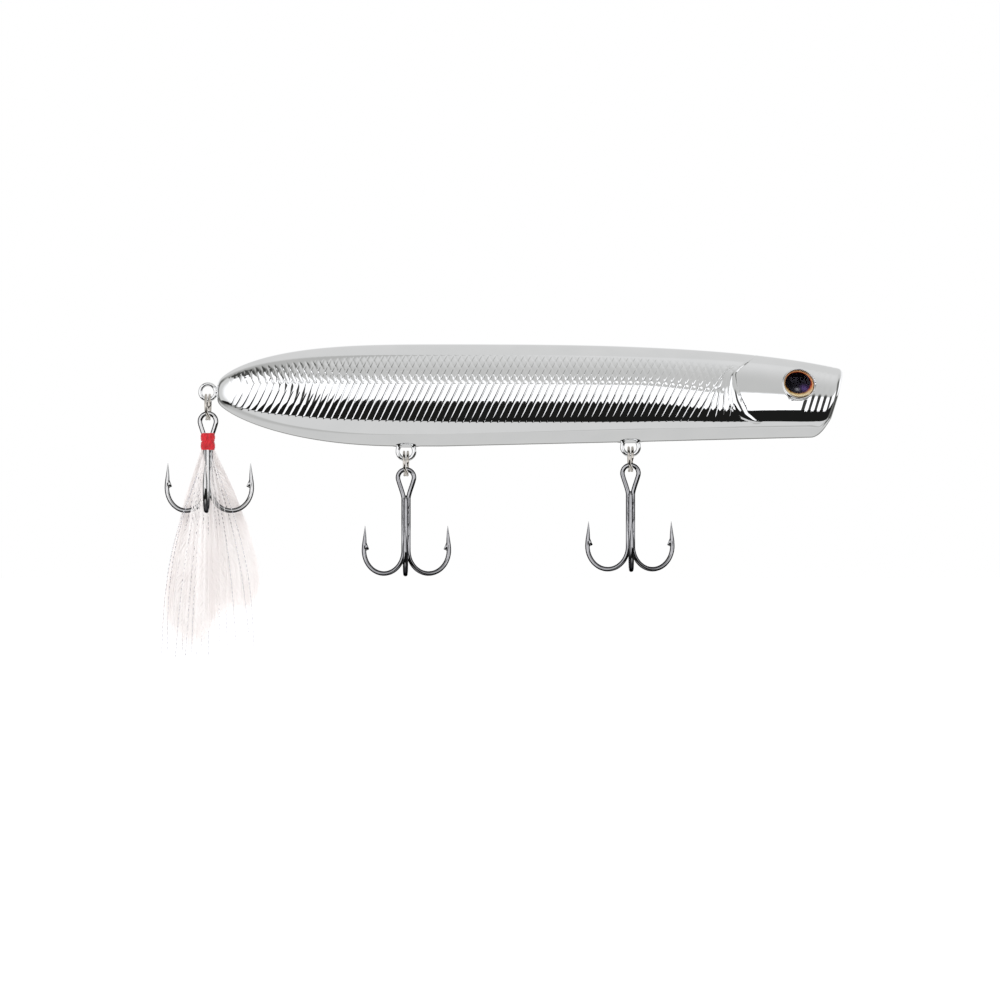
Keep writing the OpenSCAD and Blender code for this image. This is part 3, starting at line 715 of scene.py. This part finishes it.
def split_ring(place, centre, radius):
    """Two coils of rounded flat wire side by side, with a diagonal step at the bottom where they join."""
    middle = radius - 0.02 - RING_GAUGE / 2
    degrees = join(np.linspace(RING_STEP, 360 - RING_STEP, 84),
                   np.linspace(360 - RING_STEP + 2, 360 + RING_STEP - 2, 15),
                   np.linspace(360 + RING_STEP, 720 - RING_STEP, 84))
    a = np.radians(degrees - 90 - RING_TURNED)
    apart = 0.325 + 0.055 * np.sin(a)
    shift = apart * (2 * ease((degrees - 360 + RING_STEP) / (2 * RING_STEP)) - 1)
    out = np.stack([np.zeros_like(a), np.cos(a), np.sin(a)], -1)
    path = on_centre(centre) + middle * out + shift[:, None] * [1.0, 0, 0]
    section = ring_section()
    side = unit(np.cross(tangents(path), out))
    count = len(path)
    # both cut ends are tapered
    thin = np.clip(np.minimum(np.arange(count), np.arange(count)[::-1]) / 5.0, 0.25, 1.0)[:, None, None]
    rings = path[:, None] + thin * (section[:, :1] * out[:, None] + section[:, 1:] * side[:, None])
    soup = Soup()
    ends = [path[0], path[-1]]
    soup.add(join(rings.reshape(-1, 3), ends), tube_faces(count, len(section), flip=True))
    piece = soup.build(place + "_split_coils")
    dress(piece, place + "_ring", "ring_nickel", ring_metal, place + "_split_ring")


# ---- hooks
WIRE = 0.46
BEND = 4.65
POINT_RISE = 10.0
POINT_LENGTH = 3.9
BARB_AT = 4.3
SPEAR_LEAN = radians(5.0)
HOOK_EYE = 1.61
EYE_OPENS = radians(-15)
SHANK_X = 0.55 * cos(radians(30))
SINGLE_Y = -0.55 * 1.5
UP = np.array([0, 0, 1.0])


def limb_path(x, y, top, drop, heading):
    """Shank, bend and spear of one limb: its path, its radii and its barb's place and directions."""
    h = np.array([cos(heading), sin(heading), 0])
    shank = np.linspace([x, y, top], [x, y, -(drop - BEND - WIRE)], 14)
    a = pi + np.linspace(0, pi + SPEAR_LEAN, 52)[1:]
    curve = shank[-1] + BEND * h + BEND * (np.cos(a)[:, None] * h + np.sin(a)[:, None] * UP)
    direction = -sin(SPEAR_LEAN) * h + cos(SPEAR_LEAN) * UP
    start = curve[-1]
    run = (-(drop - POINT_RISE) - start[2]) / cos(SPEAR_LEAN)
    along = np.linspace(0, run, 34)[1:]
    ahead = np.clip((along - (run - POINT_LENGTH)) / POINT_LENGTH, 0, 1)
    spear = start + along[:, None] * direction + (0.16 * ahead ** 2)[:, None] * h
    radii = np.full(len(shank) + len(curve), WIRE)
    radii = join(radii, WIRE * (1 - 0.94 * ahead ** 1.25))
    barb = (start + (run - BARB_AT) * direction, direction, -h)
    return join(shank, curve, spear), radii, barb


def add_barb(soup, eye, barb):
    """A cut barb: a wedge lifted from the inside of the spear, pointing back down."""
    at, up, inward = barb
    at = at + on_centre(eye)
    side = np.cross(up, inward)
    # height, lift and half width of the wedge's root, tip and root again
    wedge = ((1.3, 0.1, 0.28), (-0.4, 1.2, 0.05), (-0.8, 0.2, 0.28))
    points = [at + height * up + lift * inward + sign * half * side
              for sign in (1, -1) for height, lift, half in wedge]
    soup.add(points, [[(0, 1, 2), (5, 4, 3)], [(3, 4, 1, 0), (4, 5, 2, 1), (5, 3, 0, 2)]])


def dress_hook(soup, name, place, eye, strength, finish, replaced):
    """Builds a hook and marks its lower shanks, between the brazing and the bends."""
    piece = soup.build(place + name)
    x, y, z = np.concatenate(soup.points).T
    depth = eye[1] - z
    uneven = 0.35 * np.sin(x * 5.0 + 1.0) + 0.25 * np.sin(y * 7.0)
    lap = ease((depth - 10.0 - uneven) / 0.25) * (1 - ease((depth - 13.9 - 2 * uneven) / 1.2))
    mark(piece, "lap", strength * lap * (np.hypot(x - eye[0], y) < 2.2))
    slot, material = finish
    dress(piece, place + "_treble", slot, material, place + replaced)


def double_hook(place, eye, drop, finish):
    """Two limbs and the round eye that joins them, bent from one wire."""
    soup = Soup()
    halves = []
    for sign, heading in ((1, radians(30)), (-1, radians(150))):
        path, radii, barb = limb_path(sign * SHANK_X, 0, -4.4, drop, heading)
        halves.append((path, radii))
        add_barb(soup, eye, barb)
    (right, right_radii), (left, left_radii) = halves
    turn = np.linspace(pi - EYE_OPENS, EYE_OPENS, 44)
    loop = HOOK_EYE * np.stack([np.cos(turn), np.zeros_like(turn), np.sin(turn)], -1)
    downward = np.array([sin(EYE_OPENS), 0, -cos(EYE_OPENS)])
    leg = bezier(loop[-1], loop[-1] + 1.25 * downward, [SHANK_X + 0.16, 0, -3.0], [SHANK_X, 0, -4.1], 16)
    left_leg = leg[::-1] * [-1, 1, 1]
    path = join(left[::-1], left_leg[:-1], loop, leg[1:], right)
    joined = np.full(len(left_leg) + len(loop) + len(leg) - 2, WIRE)
    radii = join(left_radii[::-1], joined, right_radii)
    sweep(soup, path + on_centre(eye), radii, 16)
    dress_hook(soup, "_double_wire", place, eye, 0.8, finish, "_double_hook")


def single_hook(place, eye, drop, finish):
    """The third limb, with beads of brazing along both sides and a core of it behind."""
    soup = Soup()
    path, radii, barb = limb_path(0, SINGLE_Y, -3.6, drop, radians(-90))
    radii[:3] = WIRE * np.array([0.55, 0.85, 1.0])
    sweep(soup, path + on_centre(eye), radii, 16)
    add_barb(soup, eye, barb)
    z = np.linspace(-4.0, -(drop - BEND - WIRE) + 1.6, 40)
    for sign in (1, -1):
        wave = 0.15 + 0.035 * np.sin(z * 2.1 + sign) + 0.02 * np.sin(z * 5.3)
        fade = ease((z - z[-1]) / 2.0 + 0.1) * ease((z[0] - z) / 0.8 + 0.2)
        bead = np.stack([np.full_like(z, sign * 0.46), np.full_like(z, -0.60), z], -1)
        sweep(soup, bead + on_centre(eye), wave * np.clip(fade, 0.2, 1), 8)
    core = np.stack([np.zeros_like(z), np.full_like(z, -0.22), z], -1)
    sweep(soup, core + on_centre(eye), 0.3, 8)
    dress_hook(soup, "_third_hook", place, eye, 0.55, finish, "_single_hook")


front_hanger = (place_x(FRONT_AT), place_z(-float(belly(FRONT_AT)) - 0.9))
rear_hanger = (place_x(REAR_AT), place_z(-float(belly(REAR_AT)) - 0.9))
tail_hanger = (place_x(-1.8), place_z(0.8))
TAIL_EYE_DROP = 5.9
tail_eye = (tail_hanger[0], tail_hanger[1] - TAIL_EYE_DROP)
# place, hanger, how far below it the ring and the hook's eye are, ring radius, hook length, slot and metal
TACKLE = (("front", front_hanger, 2.5, 5.3, 2.6, 19.7, ("black_nickel", black_hook)),
          ("rear", rear_hanger, 2.5, 5.3, 2.6, 19.7, ("black_nickel", black_hook)),
          ("tail", tail_hanger, 3.0, TAIL_EYE_DROP, 2.7, 18.3, ("bright_hook", bright_hook)))
for place, (x, z), ring_drop, _, ring_radius, _, _ in TACKLE:
    split_ring(place, (x, z - ring_drop), ring_radius)
for place, (x, z), _, eye_drop, _, drop, finish in TACKLE:
    double_hook(place, (x, z - eye_drop), drop, finish)
    single_hook(place, (x, z - eye_drop), drop, finish)

# ---- thread wrap
WRAP_TOP = 2.3
WRAP_LENGTH = 3.4
WRAP_SIDES = 48
THREAD = 0.105
THREAD_PITCH = 0.2


def thread_material():
    material, tree, shader = new_material("bound_red_thread")
    fibre = noise(tree, 2600, 4, (1, 1, 0.4))
    colour = ramp(tree, fibre, (0.46, 0.002, 0.010), (0.76, 0.007, 0.022), 0.35, 0.65)
    put(tree, shader, {"Base Color": colour, "Roughness": 0.48, "Sheen Weight": 0.1,
                       "Sheen Tint": (1.0, 0.5, 0.5), "Coat Weight": 0.15, "Coat Roughness": 0.22,
                       "Normal": bump(tree, noise(tree, 9000, 3), 1e-5)})
    return material


def swelling(depth):
    """How far the bundle swells at a depth below the wrap's top: two humps with a waist between them."""
    hump = np.abs(np.sin(pi * np.clip(depth / WRAP_LENGTH, 0, 1) * 2))
    return 0.82 + 0.18 * hump ** 0.5


def on_wrap(turn, scale, depth):
    """Points round the bundle, whose section has two rounded lobes with a crease between the shanks."""
    c, s = np.cos(turn), np.sin(turn)
    x = 1.36 * np.sign(c) * np.abs(c) ** 0.8
    y = 1.22 * np.sign(s) * np.abs(s) ** 0.8
    crease = 0.42 * np.exp(-(x / 0.30) ** 2)
    y = np.where(y < 0, y + crease, y - 0.5 * crease)
    z = np.full_like(x, tail_eye[1] - WRAP_TOP - depth)
    return np.stack([x * scale + tail_eye[0], y * scale - 0.5, z], -1)


def thread_wrap():
    """Thread wound round the bundle, two loose turns across it, and a closed core."""
    soup = Soup()
    turns = WRAP_LENGTH / THREAD_PITCH
    t = np.linspace(0, turns, int(turns * 44))
    depth = 0.1 + (WRAP_LENGTH - 0.2) * t / turns
    jitter = 1 + 0.012 * np.sin(t * 2.7) + 0.01 * np.sin(t * 7.9 + 1)
    sweep(soup, on_wrap(2 * pi * t, swelling(depth) * jitter, depth), THREAD, 8)
    for start, end, first, last in ((0.55, 2.9, 1.2, 1.95), (2.7, 0.6, 1.15, 1.9)):
        turn = np.linspace(first, last, 30) * pi
        depth = np.linspace(start, end, 30)
        sweep(soup, on_wrap(turn, swelling(depth) + 0.055, depth), THREAD * 0.9, 8)
    levels = np.linspace(0.02, WRAP_LENGTH - 0.02, 30)
    core = [on_wrap(full_turn(WRAP_SIDES), swelling(level) - 0.035, level) for level in levels]
    caps = [[tail_eye[0], -0.5, tail_eye[1] - WRAP_TOP - depth] for depth in (0, WRAP_LENGTH)]
    soup.add(join(*core, caps), tube_faces(len(levels), WRAP_SIDES, flip=True))
    return soup.build("bound_thread")


dress(thread_wrap(), "tail_treble", "red_thread", thread_material(), "thread_wrap")

# ---- feathers and tinsel
root = np.array([tail_eye[0], -0.1, tail_eye[1] - WRAP_TOP - WRAP_LENGTH + 0.25])
# tip (X, Z), how far back it hangs, width, bow, barbs a side, raggedness
HACKLES = (((-114.3, -40.4), 4.4, 3.0, 1.0, 190, 0.03), ((-116.4, -41.0), 4.0, 3.0, 0.6, 170, 0.04),
           ((-118.8, -42.6), 3.6, 2.6, 0.3, 150, 0.07), ((-121.0, -46.0), 3.3, 2.4, 0.1, 140, 0.09),
           ((-123.2, -47.8), 3.1, 2.6, -0.1, 150, 0.08), ((-125.6, -48.2), 3.4, 2.6, -0.4, 150, 0.08),
           ((-127.6, -47.4), 3.8, 2.4, -0.7, 150, 0.07), ((-129.3, -44.8), 4.3, 2.1, -1.0, 150, 0.06))
BARB_BASE = 0.12
TIP_ROUND = 0.5
BARB_WIDTH = 0.17
# the fan's half widths at depths below its root, and its length from the tail's side, -1, to the nose's, 1
FAN_DEPTH = [0, 4.5, 9.2, 17.6, 26.0, 31.6, 38.5]
FAN_TAIL_SIDE = [1.15, 2.9, 4.6, 6.6, 8.1, 8.9, 9.2]
FAN_NOSE_SIDE = [1.15, 3.0, 5.1, 8.0, 10.1, 10.4, 9.9]
FAN_ENDS_AT = [-1.0, -0.8, -0.5, -0.2, -0.05, 0.08, 0.3, 0.6, 0.85, 1.0]
FAN_ENDS = [37.0, 39.6, 40.6, 40.4, 39.5, 35.8, 34.0, 33.8, 33.0, 29.5]
# where the tinsel strands end (X, Z)
STRANDS = ((-131.3, -50.6), (-130.2, -50.0), (-128.9, -51.2), (-127.6, -50.3), (-126.9, -51.0),
           (-125.7, -50.2), (-124.8, -51.0), (-123.6, -50.6), (-122.3, -50.9), (-120.2, -48.8),
           (-118.6, -49.4), (-116.8, -48.6), (-114.2, -46.8), (-112.9, -49.6), (-129.6, -46.0),
           (-127.2, -45.2), (-125.4, -46.8))
STRAND_WIDTH = 0.13


def feather_material():
    """White barbs that let light through, with a painted glow that brightens their shaded parts."""
    material, tree, shader = new_material("white_hackle_barbs")
    streaks = noise(tree, 260, 4, (1, 1, 0.3))
    tint = ramp(tree, streaks, (0.915, 0.888, 0.878), (0.95, 0.933, 0.925), 0.35, 0.65)
    # painted light: the emission lifts the barbs' shaded parts, though the feathers are no lamp
    put(tree, shader, {"Base Color": tint, "Roughness": 0.6, "Specular IOR Level": 0.2,
                       "Emission Color": tint, "Emission Strength": 0.10})
    glow = node(tree, "BsdfTranslucent", {"Color": tint})
    mix = mix_shader(tree, 0.45, shader.outputs["BSDF"], glow)
    put(tree, tree.nodes["Material Output"], {"Surface": mix})
    return material


def tinsel_material():
    material, tree, shader = new_material("tinsel_film")
    colour = ramp(tree, noise(tree, 2200, 2), (0.55, 0.55, 0.60), (0.95, 0.95, 0.97))
    put(tree, shader, {"Metallic": 0.9, "Roughness": 0.14, "Base Color": colour})
    return material


def ribbon(soup, path, widths, facing):
    """A flat strip along a path: facing gives the direction across it at each point."""
    half = facing * np.broadcast_to(widths, len(path))[:, None] / 2
    soup.add(np.stack([path - half, path + half], 1).reshape(-1, 3), [grid_faces(len(path), 2)])


def strip_facing(path, twist):
    """The direction across a strip that lies in the fan, turned by a twist."""
    return unit(np.cross(tangents(path), [sin(twist), cos(twist), 0]))


def feather(soup, tip, back_off, width, bow, barbs, ragged):
    """One hackle: a tapering quill and two rows of barbs that sweep towards the tip."""
    u = np.linspace(0, 1, 26)
    end = np.array([tip[0], back_off, tip[1]])
    chord = end - root
    side = unit(np.array([-chord[2], 0, chord[0]]))
    quill = root + u[:, None] * chord + (bow * np.sin(pi * u))[:, None] * side
    quill[:, 1] = root[1] + (back_off - root[1]) * ease(u * 2.4)
    sweep(soup, quill, 0.13 * (1 - 0.8 * u) + 0.015, 6)
    tangent = tangents(quill)
    q = np.linspace(0, 1, 6)
    for sign in (-1, 1):
        for v in np.linspace(BARB_BASE, 0.995, barbs):
            v = min(max(v + rng.normal(0, 0.004), BARB_BASE), 0.998)
            at = np.array([np.interp(v, u, quill[:, k]) for k in range(3)])
            ahead = np.array([np.interp(v, u, tangent[:, k]) for k in range(3)])
            across = unit(sign * np.cross(ahead, [0, 1, 0]))
            widening = min(1.0, (v - BARB_BASE * 0.3) / 0.42) ** 0.8
            rounding = 1 - max(0, (v - TIP_ROUND) / (1.02 - TIP_ROUND)) ** 1.8
            reach = max(width * widening * rounding * (1 + rng.normal(0, ragged)), 0.4)
            swept = reach * (1.75 + rng.normal(0, 0.12))
            to_end = (end[2] - rng.uniform(0, 1.3) - at[2]) / min(ahead[2], -0.3)
            swept = min(swept, max(to_end, 0.3))
            puff = rng.normal(0, 0.16)
            path = at + (across * reach) * (q ** 0.85)[:, None] + (ahead * swept) * (q ** 1.25)[:, None]
            path[:, 1] += puff * q ** 1.5 + 0.06 * sign * q
            ribbon(soup, path, BARB_WIDTH * (1 - 0.72 * q ** 2), strip_facing(path, rng.normal(0, 0.30)))


def fan_end(s):
    return float(np.interp(s, FAN_ENDS_AT, FAN_ENDS))


def fan_fibre(soup, s, reach, depth_y, thick, crinkle=0.0):
    """One soft fibre of the fan: s runs from its tail side, -1, to its nose side, 1."""
    steps = 40 if crinkle else 12
    q = np.linspace(0, 1, steps)
    down = reach * q
    side = np.interp(down, FAN_DEPTH, FAN_TAIL_SIDE if s < 0 else FAN_NOSE_SIDE)
    x = root[0] + s * side + 0.35 * rng.normal() * q ** 2
    x = x + crinkle * np.where(np.arange(steps) % 2 == 0, 1, -1) * ease(q * 5)
    y = root[1] + (depth_y - root[1]) * ease(down / 6.5) + 0.12 * rng.normal() * q
    path = np.stack([x, y, root[2] - down], -1)
    ribbon(soup, path, thick * (1 - 0.65 * q ** 3), strip_facing(path, rng.normal(0, 0.35)))


def strand(soup, x, z):
    """One twisted strip of tinsel; the outermost strands hang in front of the feathers."""
    q = np.linspace(0, 1, 230)
    edge = x < -130 or x > -114
    end = np.array([x, -2.3 if edge else rng.uniform(3.1, 4.8), z])
    bow = (x - root[0]) * (0.28 if edge else 0.16) + rng.normal(0, 0.2)
    path = root + q[:, None] * (end - root)
    path[:, 0] += bow * np.sin(pi * q)
    path[:, 1] = root[1] + (end[1] - root[1]) * ease(q * 2)
    along = tangents(path)
    side = unit(np.cross(along, [0.0, 1.0, 0.0]))
    twist = 2 * pi * q * 44 / rng.uniform(1.6, 2.3) + rng.uniform(0, 6)
    facing = np.cos(twist)[:, None] * side + np.sin(twist)[:, None] * np.cross(along, side)
    ribbon(soup, path, STRAND_WIDTH, facing)


soup = Soup()
for hackle in HACKLES:
    feather(soup, *hackle)
# long soft fibres fill the fan between its two edges
for k in range(1400):
    s = rng.uniform(-1, 1)
    reach = fan_end(s) * (1 - 0.07 * abs(rng.normal()) - 0.5 * rng.uniform() ** 3)
    fan_fibre(soup, s, reach, rng.uniform(2.9 + 1.6 * abs(s), 4.6 + 0.8 * abs(s)), 0.30)
# a thin veil of short ones hangs in front of the hook, and some crinkled ones further out
for count, spread, reaches, depths, crinkle in ((44, (-0.6, 0.6), (0.25, 0.75), (-1.25, -0.6), 0.0),
                                                (34, (-0.62, -0.02), (0.8, 1.0), (-2.4, -1.8), 0.16)):
    for k in range(count):
        s = rng.uniform(*spread)
        fan_fibre(soup, s, fan_end(s) * rng.uniform(*reaches), rng.uniform(*depths), 0.09, crinkle)
dress(soup.build("hackle_feathers"), "tail_treble", "white_hackle", feather_material(), "feather_dressing")

soup = Soup()
for x, z in STRANDS:
    strand(soup, x, z)
dress(soup.build("tinsel_strands"), "tail_treble", "tinsel_film", tinsel_material(), "tinsel")


# ---- studio
def world_light():
    """A white studio. Shiny parts see a lit card, a dark gap under it and pale walls all round."""
    world = bpy.data.worlds.new("studio")
    scene.world = world
    world.use_nodes = True
    tree = world.node_tree
    tree.nodes.clear()
    split = tree.nodes.new("ShaderNodeSeparateXYZ")
    put(tree, split, {0: node(tree, "TexCoord", {}, "Generated")})

    def calc(operation, *values):
        return compute(tree, operation, *values)

    def times(*values):
        product = values[0]
        for value in values[1:]:
            product = calc("MULTIPLY", product, value)
        return product

    def without(weight):
        return calc("SUBTRACT", 1.0, weight)

    def blend(weight, a, b):
        return calc("ADD", times(a, without(weight)), times(b, weight))

    def rise(value, low, high):
        return node(tree, "MapRange", {"Value": value, "From Min": low, "From Max": high},
                    interpolation_type="SMOOTHSTEP")

    up = calc("DEGREES", calc("ARCSINE", split.outputs["Z"]))
    azimuth = calc("ARCTAN2", times(split.outputs["X"], -1.0), times(split.outputs["Y"], -1.0))
    azimuth = calc("DEGREES", azimuth)

    def profile(stops):
        """A number that changes with the azimuth through stops, both between -60 and 60."""
        levels = [((at + 60) / 120, ((number + 60) / 120,) * 3) for at, number in stops]
        level = colour_stops(tree, calc("DIVIDE", calc("ADD", azimuth, 60.0), 120.0), levels)
        return calc("SUBTRACT", times(level, 120.0), 60.0)

    def above(edge, soft):
        return rise(calc("SUBTRACT", up, edge), -soft, soft)

    # azimuth is positive towards the lure's tail; the card's edges drift with it
    tone = profile([(-55, 8), (-24, 4), (-8, 0), (20, 0), (34, -18), (60, -30)])
    wall = times(blend(rise(up, 40.0, 80.0), 0.56, 0.68), calc("ADD", 1.0, calc("DIVIDE", tone, 100.0)))
    card_top = profile([(-14, 19), (-8, 20), (0, 25), (16, 31), (33, 38), (59, 46)])
    low_edge = profile([(-12, -5), (-8.8, -4), (-6, -10), (-2, -4), (3, -1), (10, -2), (14, -6), (18, -12),
                        (30, -22), (52, -29)])
    nose_far = times(rise(times(azimuth, -1.0), 60.0, 76.0), rise(azimuth, -112.0, -96.0))
    far = calc("MAXIMUM", nose_far, rise(azimuth, 92.0, 108.0))
    rear = rise(calc("ABSOLUTE", azimuth), 112.0, 140.0)
    # the card, with a dark ceiling above its tail end
    front = blend(above(card_top, 2.0), blend(rise(azimuth, 58.0, 78.0), 1.22, 0.66), wall)
    ceiling = times(above(card_top, 2.0), without(above(62.0, 7.0)), rise(azimuth, 20.0, 62.0))
    front = blend(ceiling, front, 0.06)
    # two dark strips in the card: a leaning one towards the tail and one towards the nose
    leaning = calc("SUBTRACT", azimuth, times(calc("MAXIMUM", up, 0.0), 0.3))
    strip = times(rise(leaning, 13.8, 15.5), without(rise(leaning, 18.5, 20.5)), without(above(46.0, 4.0)))
    front = blend(strip, front, 0.05)
    strip = times(rise(azimuth, -24.0, -20.0), without(rise(azimuth, -11.6, -10.5)))
    strip = times(strip, without(above(22.0, 4.0)))
    front = blend(strip, front, 0.05)
    # the gap below the card and the pale floor
    front = blend(above(-54.0, 1.5), 0.68, blend(above(low_edge, 0.6), 0.012, front))
    sides = blend(above(-40.0, 6.0), 0.5, blend(above(40.0, 6.0), 0.14, wall))
    behind = blend(above(-3.0, 2.0), 0.24, blend(above(20.0, 6.0), 0.95, 0.68))
    behind = blend(above(-20.0, 4.0), 0.62, behind)
    studio = blend(rear, blend(far, front, sides), behind)

    def background(level):
        """Light at a level, a little warmer where it is dim."""
        cool = calc("ADD", 0.955, times(calc("MINIMUM", level, 1.0), 0.06))
        tint = node(tree, "CombineColor", {"Red": level, "Green": level, "Blue": times(level, cool)})
        return node(tree, "Background", {"Color": tint})

    path = tree.nodes.new("ShaderNodeLightPath").outputs
    soft = background(blend(rise(split.outputs["Z"], -1.0, 1.0), 0.66, 1.02))
    white = node(tree, "Background", {"Color": (1, 1, 1)})
    lit = mix_shader(tree, path["Is Glossy Ray"], soft, background(studio))
    seen = mix_shader(tree, path["Is Camera Ray"], lit, white)
    put(tree, tree.nodes.new("ShaderNodeOutputWorld"), {"Surface": seen})


def floor_material():
    material, tree, shader = new_material("pale_floor")
    put(tree, shader, {"Base Color": ramp(tree, noise(tree, 6, 3), (0.93, 0.93, 0.93), (0.96, 0.96, 0.96)),
                       "Roughness": 0.9, "Specular IOR Level": 0.0,
                       "Emission Color": (1, 1, 1), "Emission Strength": 0.22})
    return material


world_light()
FLOOR = -130.0
REACH = 6000
corners = [[-REACH, -REACH, FLOOR], [REACH, -REACH, FLOOR], [REACH, REACH, FLOOR], [-REACH, REACH, FLOOR]]
floor = make_mesh("floor", corners, [np.array([[0, 1, 2, 3]])], smooth=False)
floor.data.materials.append(floor_material())
floor.visible_glossy = False

lamp_data = bpy.data.lights.new("key", "AREA")
lamp_data.shape = "RECTANGLE"
lamp_data.size = 0.5
lamp_data.size_y = 0.3
lamp_data.energy = 1.6
lamp = add_object("key", lamp_data)
lamp.location = (-0.25, -0.55, 0.55)
lamp.rotation_euler = (radians(43), 0, radians(-18))
lamp.visible_glossy = False

camera_data = bpy.data.cameras.new("camera")
camera_data.lens = 180
camera_data.sensor_width = 36
camera_data.clip_start = 0.01
camera = add_object("camera", camera_data)
camera.location = (-0.0638, -1.0, -0.0198)
camera.rotation_euler = (radians(90), 0, 0)
scene.camera = camera
scene.view_settings.view_transform = "Standard"
scene.view_settings.look = "None"
